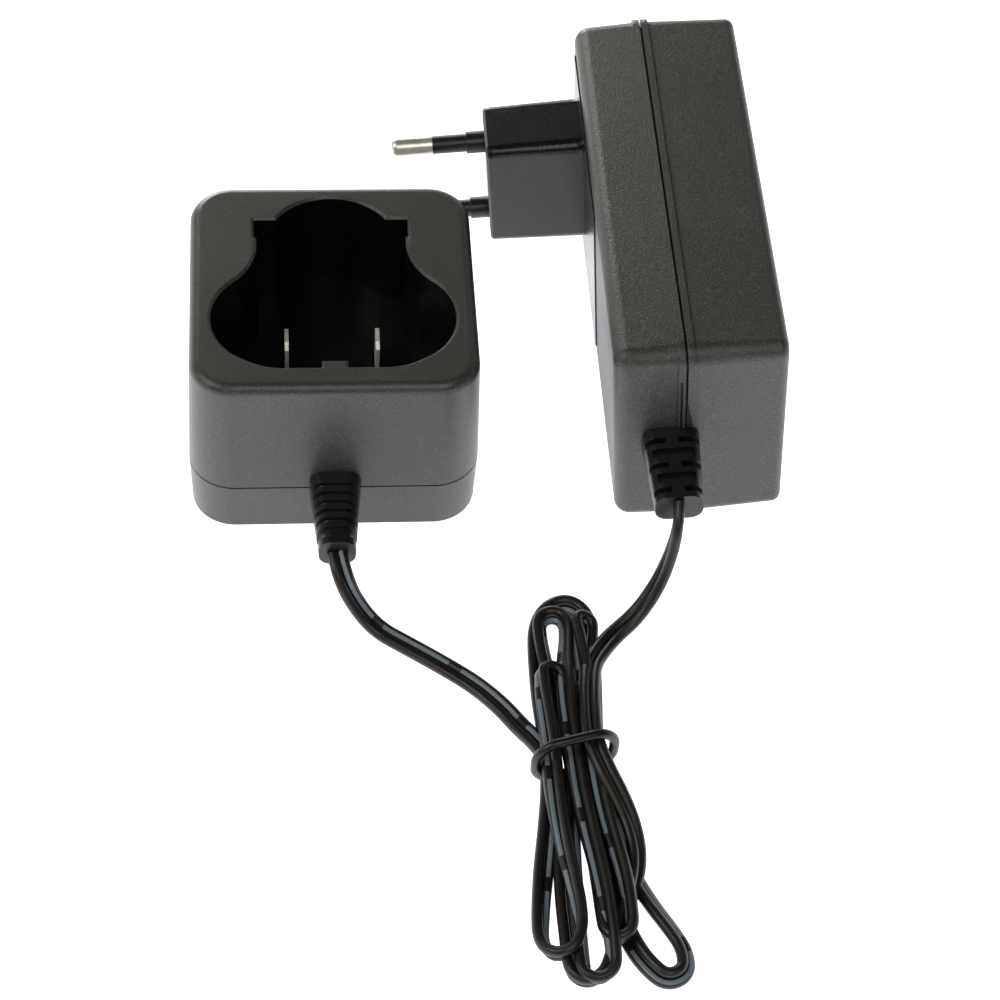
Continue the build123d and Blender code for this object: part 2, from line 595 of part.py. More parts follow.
def cup_relief():
    """Ribbed strain relief on the cup's front, clamped in the seam."""
    base = (RELIEF_BASE_WIDTH, RELIEF_BASE_HEIGHT)
    end = (RELIEF_END_WIDTH, RELIEF_END_HEIGHT)
    relief = relief_slice(0, RELIEF_LENGTH, base, end, RIB_DEPTH)
    relief += relief_slice(0, RELIEF_COLLAR, base, end)
    for rib in range(RIB_COUNT):
        start = RELIEF_COLLAR + rib * RIB_PITCH + RIB_PITCH - RIB_WIDTH
        relief += relief_slice(start, start + RIB_WIDTH, base, end)
    relief += relief_slice(RELIEF_LENGTH - END_RIM, RELIEF_LENGTH, base, end)
    wall = flange_middle() - FLANGE_LENGTH / 2 + CUP_DEPTH / 2
    relief += relief_anchor(base, wall)
    return Pos(0, -CUP_DEPTH / 2 - RELIEF_SEAT, SEAM_HEIGHT) * relief


def adapter_relief():
    """Segmented strain relief of the adapter, in the adapter's own frame."""
    base = (SEGMENT_BASE_WIDTH, SEGMENT_BASE_HEIGHT)
    end = (SEGMENT_END_WIDTH, SEGMENT_END_HEIGHT)
    relief = relief_slice(0, RELIEF_LENGTH, base, end)
    for row in range(SEGMENT_ROWS):
        distance = SEGMENT_FIRST + row * SEGMENT_PITCH
        share = distance / RELIEF_LENGTH
        width = base[0] + (end[0] - base[0]) * share
        height = base[1] + (end[1] - base[1]) * share
        side_reach = (width - BRIDGE_WIDTH) / 2
        if row % 2 == 0:
            slot = Box(side_reach, SIDE_SLOT, SLOT_DEPTH + OVERCUT)
            places = [-(width - side_reach) / 2, (width - side_reach) / 2]
        else:
            slot = Box(width - 2 * SIDE_WEB, FACE_SLOT, SLOT_DEPTH + OVERCUT)
            places = [0.0]
        level = (height - SLOT_DEPTH + OVERCUT) / 2
        for x in places:
            relief -= Pos(x, -distance, level) * slot
            relief -= Pos(x, -distance, -level) * slot
    lean_in = shrink(SEGMENT_BASE_WIDTH / 2 - SEGMENT_X, ADAPTER_DRAFT)
    relief += relief_anchor(base, ADAPTER_WALL + FIT + lean_in)
    return Pos(SEGMENT_X, -ADAPTER_LENGTH / 2 - RELIEF_SEAT, 0) * relief


# ================================================================ wall adapter, in its own frame
def casing_outline(grow=0.0):
    """Outline of the adapter at the parting plane, on the YZ plane."""
    length = ADAPTER_LENGTH + 2 * grow
    height = ADAPTER_HEIGHT + 2 * grow
    return RectangleRounded(length, height, ADAPTER_CORNER + grow)


def casing_half(thickness, face_wall, face_round):
    """One half of the casing from the parting plane towards +X, with its raised band."""
    half = extrude(Plane.YZ * casing_outline(), amount=thickness, taper=ADAPTER_DRAFT)
    half = fillet(half.faces().sort_by(Axis.X)[-1].edges(), face_round)
    band = extrude(Plane.YZ * casing_outline(RIDGE_HEIGHT), amount=RIDGE_WIDTH, taper=ADAPTER_DRAFT)
    half += Pos(PARTING_GAP / 2, 0, 0) * band
    rebate = casing_outline(2 * RIDGE_HEIGHT) - casing_outline(-PARTING_GROOVE)
    half -= extrude(Plane.YZ * rebate, amount=PARTING_GAP / 2)
    cavity = Plane.YZ * casing_outline(-ADAPTER_WALL)
    half -= extrude(cavity, amount=thickness - face_wall, taper=ADAPTER_DRAFT)
    return half


def relief_cut():
    """What the adapter's relief needs cut from both halves: throat, collar seat, flange."""
    wall_y = -ADAPTER_LENGTH / 2
    throat = relief_throat(NECK_WIDTH, NECK_HEIGHT, 3 * ADAPTER_WALL, FIT)
    seat_length = 2 * RIDGE_HEIGHT
    seat = relief_throat(SEGMENT_BASE_WIDTH, SEGMENT_BASE_HEIGHT, seat_length, 2 * FIT)
    cut = Pos(SEGMENT_X, wall_y, 0) * throat
    cut += Pos(SEGMENT_X, wall_y - seat_length / 2, 0) * seat
    return cut


def band_cuts():
    """Slot and wedge that thin the raised bands above the relief, on the front wall."""
    front = ADAPTER_LENGTH / 2 - BAND_CUT_DEPTH
    depth = BAND_CUT_DEPTH + 2 * RIDGE_HEIGHT
    foot = SEGMENT_BASE_HEIGHT / 2
    slot_left = DRIP_SLOT_X - DRIP_SLOT_WIDTH / 2
    slot_right = DRIP_SLOT_X + DRIP_SLOT_WIDTH / 2
    slot = Polyline(
        (slot_left, foot), (slot_right, foot), (slot_right, DRIP_SLOT_TOP), (slot_left, DRIP_SLOT_TOP),
        close=True,
    )
    wedge = Polyline((0, foot), (WEDGE_BOTTOM_WIDTH, foot), (0, WEDGE_TOP), close=True)
    cuts = extrude(Plane.XZ.offset(front) * make_face(slot), amount=depth)
    cuts += extrude(Plane.XZ.offset(front) * make_face(wedge), amount=depth)
    return cuts


def insert_outline(grow=0.0):
    """Outline of the plug's plate on the pin face, drawn on the YZ plane."""
    back = ADAPTER_LENGTH / 2 - INSERT_MARGIN
    length = back - INSERT_FRONT + 2 * grow
    height = ADAPTER_HEIGHT - 2 * INSERT_MARGIN + 2 * grow
    corner = INSERT_CORNER + grow
    return Pos((back + INSERT_FRONT) / 2, 0) * RectangleRounded(length, height, corner)


def pin_shell():
    """Half that carries the plug: pocket for the plate, board pillars, relief opening."""
    shell = mirror(casing_half(PIN_HALF, PIN_FACE_WALL, PIN_FACE_ROUND), about=Plane.YZ)
    pocket = Plane.YZ.offset(-PIN_HALF - OVERCUT) * insert_outline(INSERT_GAP)
    shell -= extrude(pocket, amount=OVERCUT + INSERT_PLATE - INSERT_PROUD)
    inner_face = -PIN_HALF + PIN_FACE_WALL
    for y, z in main_pillar_places():
        shell += lying_rod(inner_face - PIN_FACE_WALL / 3, MAIN_BOARD_X, y, z, MAIN_PILLAR_RADIUS)
    for z in pin_heights():
        bore = PIN_CORE_RADIUS + PIN_FIT
        shell -= lying_rod(-PIN_HALF - OVERCUT, inner_face + OVERCUT, NECK_Y, z, bore)
    shell -= relief_cut()
    shell -= band_cuts()
    return shell


def cover_shell():
    """Deeper half, with the tongue that locates it in the pin shell."""
    shell = casing_half(COVER_HALF, ADAPTER_WALL, COVER_FACE_ROUND)
    outer = casing_outline(-ADAPTER_WALL - FIT - shrink(TONGUE_HEIGHT, ADAPTER_DRAFT))
    tongue = outer - offset(outer, -TONGUE_WALL)
    tongue = Plane.YZ.offset(-TONGUE_HEIGHT) * tongue
    root = casing_outline(-ADAPTER_WALL / 2) - offset(outer, -TONGUE_WALL)
    shell += extrude(tongue, amount=TONGUE_HEIGHT + TONGUE_ROOT)
    shell += extrude(Plane.YZ * root, amount=TONGUE_ROOT)
    shell -= relief_cut()
    reach = 3 * ADAPTER_WALL
    clearance = relief_throat(SEGMENT_BASE_WIDTH, SEGMENT_BASE_HEIGHT, reach, FIT)
    inner_wall_y = -ADAPTER_LENGTH / 2 + ADAPTER_WALL + FIT
    shell -= Pos(SEGMENT_X, inner_wall_y + reach / 2, 0) * clearance
    shell -= band_cuts()
    return shell


def pin_heights():
    """Local Z of the two pins."""
    return (PIN_SPACING / 2, -PIN_SPACING / 2)


def plug_end():
    """Local X of the neck's end face, from which the pins stand out."""
    return -PIN_HALF - PLUG_NECK_LENGTH


def plug_insert():
    """Plate on the pin face with the tapered neck that carries the pins."""
    seat = -PIN_HALF - INSERT_PROUD
    plate = extrude(Plane.YZ.offset(seat) * insert_outline(), amount=INSERT_PLATE)
    grow = 2 * shrink(PLUG_NECK_LENGTH, PLUG_NECK_DRAFT)
    root = RectangleRounded(PLUG_NECK_DEPTH + grow, PLUG_NECK_HEIGHT + grow, PLUG_NECK_CORNER)
    neck = extrude(Plane.YZ * root, amount=PLUG_NECK_LENGTH, taper=PLUG_NECK_DRAFT)
    neck = chamfer(neck.faces().sort_by(Axis.X)[-1].edges(), PLUG_END_BEVEL)
    neck = Pos(-PIN_HALF, NECK_Y, 0) * mirror(neck, about=Plane.YZ)
    insert = plate + neck
    for z in pin_heights():
        outside = plug_end() - OVERCUT
        spigot = plug_end() + SLEEVE_SPIGOT
        insert -= lying_rod(outside, 0, NECK_Y, z, PIN_CORE_RADIUS + PIN_FIT)
        insert -= lying_rod(outside, spigot, NECK_Y, z, SLEEVE_COLLAR_RADIUS + PIN_FIT)
    return insert


def contact_pin(z):
    """Metal pin: bare rounded tip, core through sleeve and neck, tail through the board."""
    tip = plug_end() - PIN_LENGTH
    metal = lying_rod(tip, tip + PIN_METAL, NECK_Y, z, PIN_RADIUS)
    metal = fillet(metal.edges().sort_by(Axis.X)[0], PIN_NOSE)
    shoulder = MAIN_BOARD_X - COMPONENT_AIR
    pin = metal + lying_rod(tip + PIN_METAL / 2, shoulder, NECK_Y, z, PIN_CORE_RADIUS)
    end = MAIN_BOARD_X + BOARD_THICKNESS + TAIL_OUT
    return pin + lying_rod(shoulder - OVERCUT, end, NECK_Y, z, PIN_TAIL_RADIUS)


def pin_sleeve(z):
    """Insulating sleeve with its thicker collar, set into the neck."""
    start = plug_end() - PIN_LENGTH + PIN_METAL
    collar = plug_end() - SLEEVE_COLLAR
    sleeve = lying_rod(start, plug_end(), NECK_Y, z, SLEEVE_RADIUS)
    spigot = plug_end() + SLEEVE_SPIGOT
    sleeve += lying_rod(collar, spigot, NECK_Y, z, SLEEVE_COLLAR_RADIUS)
    return sleeve - lying_rod(start - OVERCUT, spigot + OVERCUT, NECK_Y, z, PIN_CORE_RADIUS + PIN_FIT)


# ---------------------------------------------------------------- adapter electronics
def main_pillar_places():
    """Local (y, z) of the four pillars that carry the main board."""
    y = MAIN_BOARD_LENGTH / 2 - MAIN_PILLAR_INSET
    z = MAIN_BOARD_HEIGHT / 2 - MAIN_PILLAR_INSET
    return [(sy * y, sz * z) for sy in (-1, 1) for sz in (-1, 1)]


def board_face():
    """Local X of the board face that the components stand on."""
    return MAIN_BOARD_X + BOARD_THICKNESS


def main_board():
    """Main board on its pillars, drilled for the pin tails and the component leads."""
    x = (MAIN_BOARD_X, board_face())
    y = (-MAIN_BOARD_LENGTH / 2, MAIN_BOARD_LENGTH / 2)
    z = (-MAIN_BOARD_HEIGHT / 2, MAIN_BOARD_HEIGHT / 2)
    board = box_between(x, y, z)
    for height in pin_heights():
        hole = PIN_TAIL_RADIUS + BOARD_FIT
        board -= lying_rod(MAIN_BOARD_X - OVERCUT, board_face() + OVERCUT, NECK_Y, height, hole)
    return board


def on_board(place, y_size, z_size, low, high):
    """A box on the main board round a local (y, z) place, between two heights above its face."""
    y, z = place
    foot = board_face() + COMPONENT_AIR
    y_limits = (y - y_size / 2, y + y_size / 2)
    z_limits = (z - z_size / 2, z + z_size / 2)
    return box_between((foot + low, foot + high), y_limits, z_limits)


def along_y(place, height, radius, length):
    """A round rod along Y above the main board, its axis at a height above the face."""
    y, z = place
    x = board_face() + COMPONENT_AIR + height
    return Pos(x, y, z) * Rot(90, 0, 0) * Cylinder(radius, length)


def standing_can(place, radius, height):
    """A capacitor can that stands on the board, with a crimped neck near its foot."""
    y, z = place
    foot = board_face() + COMPONENT_AIR
    can = lying_rod(foot, foot + height, y, z, radius)
    can = chamfer(can.edges().sort_by(Axis.X)[-1], radius / 8)
    groove_start = foot + CRIMP_HEIGHT
    groove_end = groove_start + CRIMP_LENGTH
    groove = lying_rod(groove_start, groove_end, y, z, radius + OVERCUT)
    groove -= lying_rod(groove_start, groove_end, y, z, radius - CRIMP_DEPTH)
    return can - groove


def transformer_core():
    """Ferrite core with a window on each side of its middle leg."""
    width = CORE_MIDDLE_LEG + 2 * (CORE_WINDOW + CORE_SIDE_LEG)
    top = CORE_RAISE + CORE_THICKNESS
    core = on_board((CORE_Y, 0), CORE_LENGTH, width, CORE_RAISE, top)
    window_z = (CORE_MIDDLE_LEG + CORE_WINDOW) / 2
    window_length = CORE_LENGTH - 2 * CORE_YOKE
    for side in (-1, 1):
        place = (CORE_Y, side * window_z)
        core -= on_board(place, window_length, CORE_WINDOW, 0, top + OVERCUT)
    return core


def transformer_bobbin():
    """Coil former with its winding round the core's middle leg, on two feet."""
    length = CORE_LENGTH - 2 * (CORE_YOKE + COIL_AIR)
    width = CORE_MIDDLE_LEG + 2 * (CORE_WINDOW - COIL_AIR)
    top = CORE_RAISE + CORE_THICKNESS
    coil_low = CORE_RAISE - COIL_OVER
    coil = on_board((CORE_Y, 0), length, width, coil_low, top + COIL_OVER)
    coil = fillet(coil.edges().filter_by(Axis.Y), COIL_ROUND)
    leg_width = CORE_MIDDLE_LEG + COIL_AIR
    leg_low = CORE_RAISE - COIL_AIR / 2
    leg_high = top + COIL_AIR / 2
    coil -= on_board((CORE_Y, 0), CORE_LENGTH, leg_width, leg_low, leg_high)
    for side in (-1, 1):
        y = CORE_Y + side * (length - BOBBIN_FOOT) / 2
        coil += on_board((y, 0), BOBBIN_FOOT, width - 2 * COIL_ROUND, 0, coil_low + COIL_AIR)
    return coil


def mains_fuse():
    """Glass fuse lying across the board in two clips, beside the mains capacitor."""
    y = NECK_Y + MAINS_CAN_RADIUS + NEIGHBOUR_AIR + FUSE_RADIUS
    axis_x = board_face() + COMPONENT_AIR + FUSE_RADIUS + FUSE_STEP
    body = Pos(axis_x, y, 0) * Cylinder(FUSE_RADIUS - FUSE_STEP, FUSE_LENGTH)
    for side in (-1, 1):
        z = side * (FUSE_LENGTH - FUSE_CAP) / 2
        body += Pos(axis_x, y, z) * Cylinder(FUSE_RADIUS, FUSE_CAP)
        body += on_board((y, z), FUSE_CLIP, FUSE_CLIP, 0, FUSE_RADIUS)
    return body


def bridge_rectifier():
    """Flat four-lead rectifier standing on edge, one corner cut."""
    body = on_board(RECTIFIER_PLACE, RECTIFIER_THICKNESS, RECTIFIER_LENGTH, 0, RECTIFIER_HEIGHT)
    return chamfer(body.edges().filter_by(Axis.Y).sort_by(Axis.X)[-1], RECTIFIER_CORNER)


def interference_choke():
    """Ring core wound with wire, standing on the board."""
    ring = along_y(CHOKE_PLACE, CHOKE_RADIUS, CHOKE_RADIUS, CHOKE_WIDTH)
    return ring - along_y(CHOKE_PLACE, CHOKE_RADIUS, CHOKE_HOLE, CHOKE_WIDTH + OVERCUT)


def heat_sink():
    """Aluminium plate with a turned edge that cools the transistor."""
    y, z = SINK_PLACE
    plate = on_board(SINK_PLACE, SINK_LENGTH, SINK_PLATE, 0, SINK_HEIGHT)
    fold_place = (y, z + (SINK_PLATE - SINK_FOLD) / 2)
    return plate + on_board(fold_place, SINK_LENGTH, SINK_FOLD, SINK_HEIGHT - SINK_PLATE, SINK_HEIGHT)


def switching_transistor():
    """Power transistor against the heat sink: body and lead strip."""
    y = SINK_PLACE[0]
    z = SINK_PLACE[1] - (SINK_PLATE + TRANSISTOR_THICKNESS) / 2 - COMPONENT_AIR
    top = TRANSISTOR_RAISE + TRANSISTOR_HEIGHT
    body = on_board((y, z), TRANSISTOR_WIDTH, TRANSISTOR_THICKNESS, TRANSISTOR_RAISE, top)
    lead_width = TRANSISTOR_WIDTH - TRANSISTOR_RAISE
    return body + on_board((y, z), lead_width, TRANSISTOR_LEADS, 0, TRANSISTOR_RAISE + OVERCUT)


def optocoupler():
    """Small four-pin package between the mains side and the output side."""
    y, z = COUPLER_PLACE
    top = COUPLER_PIN + COUPLER_HEIGHT
    body = on_board(COUPLER_PLACE, COUPLER_WIDTH, COUPLER_LENGTH, COUPLER_PIN, top)
    body = chamfer(body.edges().filter_by(Axis.Z).sort_by(Axis.X)[-2:], COUPLER_BEVEL)
    for side in (-1, 1):
        place = (y, z + side * COUPLER_PITCH / 2)
        pin_span = COUPLER_WIDTH + 2 * COUPLER_PIN
        body += on_board(place, pin_span, COUPLER_PIN, 0, 2 * COUPLER_PIN)
    return body


def output_diode():
    """Axial rectifier on the output side, lying along the board on its two leads."""
    y, z = OUTPUT_DIODE_PLACE
    axis = OUTPUT_DIODE_RADIUS + OUTPUT_DIODE_LEAD
    body = along_y(OUTPUT_DIODE_PLACE, axis, OUTPUT_DIODE_RADIUS, OUTPUT_DIODE_LENGTH)
    body += along_y(OUTPUT_DIODE_PLACE, axis, OUTPUT_DIODE_LEAD, OUTPUT_DIODE_PITCH)
    foot = board_face() + COMPONENT_AIR
    for side in (-1, 1):
        lead_y = y + side * OUTPUT_DIODE_PITCH / 2
        body += lying_rod(foot, foot + axis, lead_y, z, OUTPUT_DIODE_LEAD)
    return body


def output_wire(side):
    """One inner wire from the board to the adapter's relief."""
    lean_in = shrink(SEGMENT_BASE_WIDTH / 2 - SEGMENT_X, ADAPTER_DRAFT)
    flange_back = -ADAPTER_LENGTH / 2 + ADAPTER_WALL + FIT + lean_in + FLANGE_LENGTH
    x = SEGMENT_X + WIRE_SPACING / 2
    z = side * WIRE_SPACING / 2
    points = [
        (x, flange_back, z),
        (x, flange_back + WIRE_BEND, z),
        (x, flange_back + 2 * WIRE_BEND, z + side * WIRE_BEND / 2),
        (board_face() + COMPONENT_AIR, flange_back + 2 * WIRE_BEND, z + side * WIRE_BEND / 2),
    ]
    return swept_rod(points, WIRE_RADIUS)[0]


def cup_wire(side):
    """One inner wire from the cup's relief down to the board."""
    flange_back = flange_middle() + FLANGE_LENGTH / 2
    board_top = BOARD_HEIGHT + BOARD_THICKNESS
    x = side * WIRE_SPACING / 2
    y = flange_back + 2 * WIRE_BEND
    points = [
        (x, flange_back, SEAM_HEIGHT),
        (x, flange_back + WIRE_BEND, SEAM_HEIGHT),
        (x + side * WIRE_BEND / 2, y, SEAM_HEIGHT),
        (x + side * WIRE_BEND / 2, y, board_top + COMPONENT_AIR),
    ]
    return swept_rod(points, WIRE_RADIUS)[0]


# ================================================================ hank, tie and free lead
def hank_section(station):
    """Rounded upright section of the hank at one station."""
    x, y, width, low, high = station
    corner = STATION_ROUND * min(width, high - low)
    plane = Plane(origin=(x, y, (low + high) / 2), x_dir=(1, 0, 0), z_dir=(0, -1, 0))
    return plane * RectangleRounded(width, high - low, corner)


def hank():
    """The folded spare lead as one closed form, with the loose side loop."""
    spans = []
    for first, second in zip(HANK_STATIONS, HANK_STATIONS[1:]):
        spans.append(loft([hank_section(first), hank_section(second)], ruled=True))
    body = spans[0]
    for span in spans[1:]:
        body += span
    start = Vector(*SIDE_LOOP_START)
    end = Vector(*SIDE_LOOP_END)
    turn = Vector(1, 0).get_signed_angle(end - start, Vector(0, 0, 1))
    length = (end - start).length
    loop = extrude(SlotCenterToCenter(length, SIDE_LOOP_WIDTH), amount=SIDE_LOOP_HEIGHT)
    middle = (start + end) * 0.5
    return body + Pos(middle.X, middle.Y, 0) * Rot(0, 0, turn) * loop


def cord_tie():
    """Round band closed round the hank's waist."""
    first, second = HANK_STATIONS[TIE_STATION_COUNT:TIE_STATION_COUNT + 2]
    x, y = (first[0] + second[0]) / 2, (first[1] + second[1]) / 2
    turned_slack = tan(radians(TIE_TURN)) * TIE_BAND / 2
    width = WAIST_WIDTH + 2 * (TIE_FIT + turned_slack) + TIE_BAND
    height = WAIST_HEIGHT + 2 * TIE_FIT + TIE_BAND
    corner = STATION_ROUND * WAIST_HEIGHT + TIE_BAND / 2
    ring = (Plane.XZ * RectangleRounded(width, height, corner)).wires()[0]
    section = Plane(origin=ring @ 0, z_dir=ring % 0) * RegularPolygon(TIE_BAND / 2, ROD_SIDES)
    band = sweep(section, path=ring)
    return Pos(x, y, (WAIST_LOW + WAIST_TOP) / 2) * Rot(0, 0, TIE_TURN) * band


def lead_tube(start, route, relief, stop_at):
    """A free stretch of the lead from a relief's exit to the hank's surface."""
    tube, radii, path = swept_rod([start] + route, LEAD_ROUND_RADIUS)
    print("arc radii", [round(radius, 1) for radius in radii])
    print("tube length", round(path.length, 1), "volume", round(tube.volume, 1))
    return (tube - relief - stop_at).solids().sort_by(Axis.Y)[-1]


# ================================================================ assembly
def adapter_lean():
    """Angle at which the adapter leans: it rests on its band and on the pin face's edge."""
    contact_span = PIN_HALF - PIN_FACE_ROUND - RIDGE_WIDTH
    return ADAPTER_DRAFT + degrees(atan(RIDGE_HEIGHT / contact_span))


def build_nodes():
    """Every piece in its place, keyed by its name."""
    cup = {
        "cup_shell": cup_shell(),
        "cup_base": cup_base(),
        "cup_screws": cup_screws(),
        "contact_blade_left": contact_blade(-1),
        "contact_blade_right": contact_blade(1),
        "cup_board": cup_board(),
        "cup_diode": cup_diode(),
        "cup_wire_left": cup_wire(-1),
        "cup_wire_right": cup_wire(1),
        "cup_strain_relief": cup_relief(),
    }
    upper, lower = pin_heights()
    adapter = {
        "adapter_pin_shell": pin_shell(),
        "adapter_cover_shell": cover_shell(),
        "plug_insert": plug_insert(),
        "plug_pin_upper": contact_pin(upper),
        "plug_pin_lower": contact_pin(lower),
        "pin_sleeve_upper": pin_sleeve(upper),
        "pin_sleeve_lower": pin_sleeve(lower),
        "adapter_board": main_board(),
        "transformer_core": transformer_core(),
        "transformer_bobbin": transformer_bobbin(),
        "mains_capacitor": standing_can((NECK_Y, 0.0), MAINS_CAN_RADIUS, MAINS_CAN_HEIGHT),
        "output_capacitor": standing_can(OUTPUT_CAN_PLACE, OUTPUT_CAN_RADIUS, OUTPUT_CAN_HEIGHT),
        "mains_fuse": mains_fuse(),
        "bridge_rectifier": bridge_rectifier(),
        "interference_choke": interference_choke(),
        "heat_sink": heat_sink(),
        "switching_transistor": switching_transistor(),
        "optocoupler": optocoupler(),
        "output_diode": output_diode(),
        "output_wire_left": output_wire(-1),
        "output_wire_right": output_wire(1),
        "adapter_strain_relief": adapter_relief(),
    }
    lean = Rot(0, -adapter_lean(), 0)
    casings = [adapter["adapter_pin_shell"], adapter["adapter_cover_shell"]]
    floor = min((lean * casing).bounding_box().min.Z for casing in casings)
    place = Pos(ADAPTER_X, ADAPTER_Y, -floor) * lean
    adapter = {name: place * piece for name, piece in adapter.items()}
    nodes = {**cup, **adapter}
    folded = hank()
    cup_exit = (0.0, -CUP_DEPTH / 2 - RELIEF_SEAT - RELIEF_LENGTH, SEAM_HEIGHT)
    exit_y = -ADAPTER_LENGTH / 2 - RELIEF_SEAT - RELIEF_LENGTH
    adapter_exit = tuple((place * Pos(SEGMENT_X, exit_y, EXIT_RISE)).position)
    print("adapter lead leaves at", [round(value, 2) for value in adapter_exit])
    adapter_boot = adapter["adapter_strain_relief"]
    cord = {
        "cord_cup_lead": lead_tube(cup_exit, CUP_LEAD_ROUTE, cup["cup_strain_relief"], folded),
        "cord_adapter_lead": lead_tube(adapter_exit, ADAPTER_LEAD_ROUTE, adapter_boot, folded),
        "cord_hank": folded,
        "cord_tie": cord_tie(),
    }
    return nodes, cord


def main():
    """Build, move to the origin and write one file for each piece."""
    os.makedirs("parts", exist_ok=True)
    nodes, cord = build_nodes()
    boxes = [piece.bounding_box() for piece in nodes.values()]
    middle_x = (min(box.min.X for box in boxes) + max(box.max.X for box in boxes)) / 2
    middle_y = (min(box.min.Y for box in boxes) + max(box.max.Y for box in boxes)) / 2
    print("cup centre at", round(-middle_x, 3), round(-middle_y, 3), "lean", round(adapter_lean(), 3))
    for name, piece in {**nodes, **cord}.items():
        export_step(Pos(-middle_x, -middle_y, 0) * piece, f"parts/{name}.step")


main()
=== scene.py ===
# %% [markdown]
# # Dressing a tool battery charger
# A charging cup, a wall adapter and the twin lead between them, with its spare length folded
# and tied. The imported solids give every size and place. This lesson adds the looks: the real
# lead with all its folds, the round tie, softened edges and a finish for every piece.

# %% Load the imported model
import json
from math import acos, atan2, cos, pi, radians, sin

import bpy
from mathutils import Matrix, Vector


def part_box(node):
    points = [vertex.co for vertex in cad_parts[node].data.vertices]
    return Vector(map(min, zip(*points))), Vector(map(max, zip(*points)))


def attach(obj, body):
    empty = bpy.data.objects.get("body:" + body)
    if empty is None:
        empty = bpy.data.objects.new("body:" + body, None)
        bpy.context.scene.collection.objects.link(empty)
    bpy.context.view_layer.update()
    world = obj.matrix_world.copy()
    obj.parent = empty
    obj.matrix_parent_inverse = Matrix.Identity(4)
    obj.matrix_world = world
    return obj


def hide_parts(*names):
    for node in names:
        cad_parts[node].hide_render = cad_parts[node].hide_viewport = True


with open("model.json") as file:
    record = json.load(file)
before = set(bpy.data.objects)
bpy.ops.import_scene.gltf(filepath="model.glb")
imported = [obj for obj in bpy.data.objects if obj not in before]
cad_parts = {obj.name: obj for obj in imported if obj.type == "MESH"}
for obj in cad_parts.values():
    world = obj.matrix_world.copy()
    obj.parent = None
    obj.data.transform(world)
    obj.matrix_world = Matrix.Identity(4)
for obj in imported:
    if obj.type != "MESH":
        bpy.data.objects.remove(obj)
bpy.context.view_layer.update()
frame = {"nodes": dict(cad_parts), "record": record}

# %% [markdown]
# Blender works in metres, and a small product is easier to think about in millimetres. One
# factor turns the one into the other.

MM = 0.001

# %% [markdown]
# The lead's route was planned from the middle of the cup, which is where a person would
# start measuring. The cup's base says where that middle is in the frame.

# %% Points counted from the cup's middle
base_low, base_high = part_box("cup_base")
CUP_MIDDLE = Vector(((base_low.x + base_high.x) / 2, (base_low.y + base_high.y) / 2, 0.0))


def from_cup(x, y, z):
    """A point in the frame, from millimetres counted from the cup's middle on the table."""
    return CUP_MIDDLE + Vector((x, y, z)) * MM


print("cup middle in mm", [round(value / MM, 2) for value in CUP_MIDDLE])

# %% [markdown]
# Small goods are best looked at through a long lens from well above the table, so that walls
# stay nearly parallel. The camera is placed by its position and by three turns: round the
# upright, down towards the table, and a slight roll about its own line of sight.

# %% Camera
CAMERA_PLACE = Vector((-39.98, -349.92, 399.5)) * MM
CAMERA_YAW = -0.133970
CAMERA_PITCH = -0.894600
CAMERA_ROLL = 0.089847
CAMERA_LENS = 95.857
SENSOR_WIDTH = 36.0
CAMERA_REACH = 60.0


def add_camera():
    """The one camera, looking down at the set."""
    data = bpy.data.cameras.new("view_camera")
    data.lens = CAMERA_LENS
    data.sensor_width = SENSOR_WIDTH
    data.clip_end = CAMERA_REACH
    camera = bpy.data.objects.new("view_camera", data)
    bpy.context.scene.collection.objects.link(camera)
    turn = Matrix.Rotation(CAMERA_YAW, 4, "Z")
    turn = turn @ Matrix.Rotation(pi / 2 + CAMERA_PITCH, 4, "X")
    turn = turn @ Matrix.Rotation(CAMERA_ROLL, 4, "Z")
    camera.matrix_world = Matrix.Translation(CAMERA_PLACE) @ turn
    bpy.context.scene.camera = camera


add_camera()
print("camera", CAMERA_LENS, "mm lens")

# %% [markdown]
# A lead is one long flexible thing, so it gets one curve from end to end. It leaves the cup,
# runs to the hank, goes up and down in the hank, and comes out on top towards the adapter.
# A NURBS curve needs only a point here and there and rounds the bends by itself. The strands
# lie beside and on each other where the tie holds them, and fan out where nothing does. They
# are packed too closely: in the folds and at some crossings they run into each other. Each
# row also says how far the lead is tipped there, in degrees: nearly flat on a strand, and up
# on edge in a fold, because a flat lead bends easily only that way.

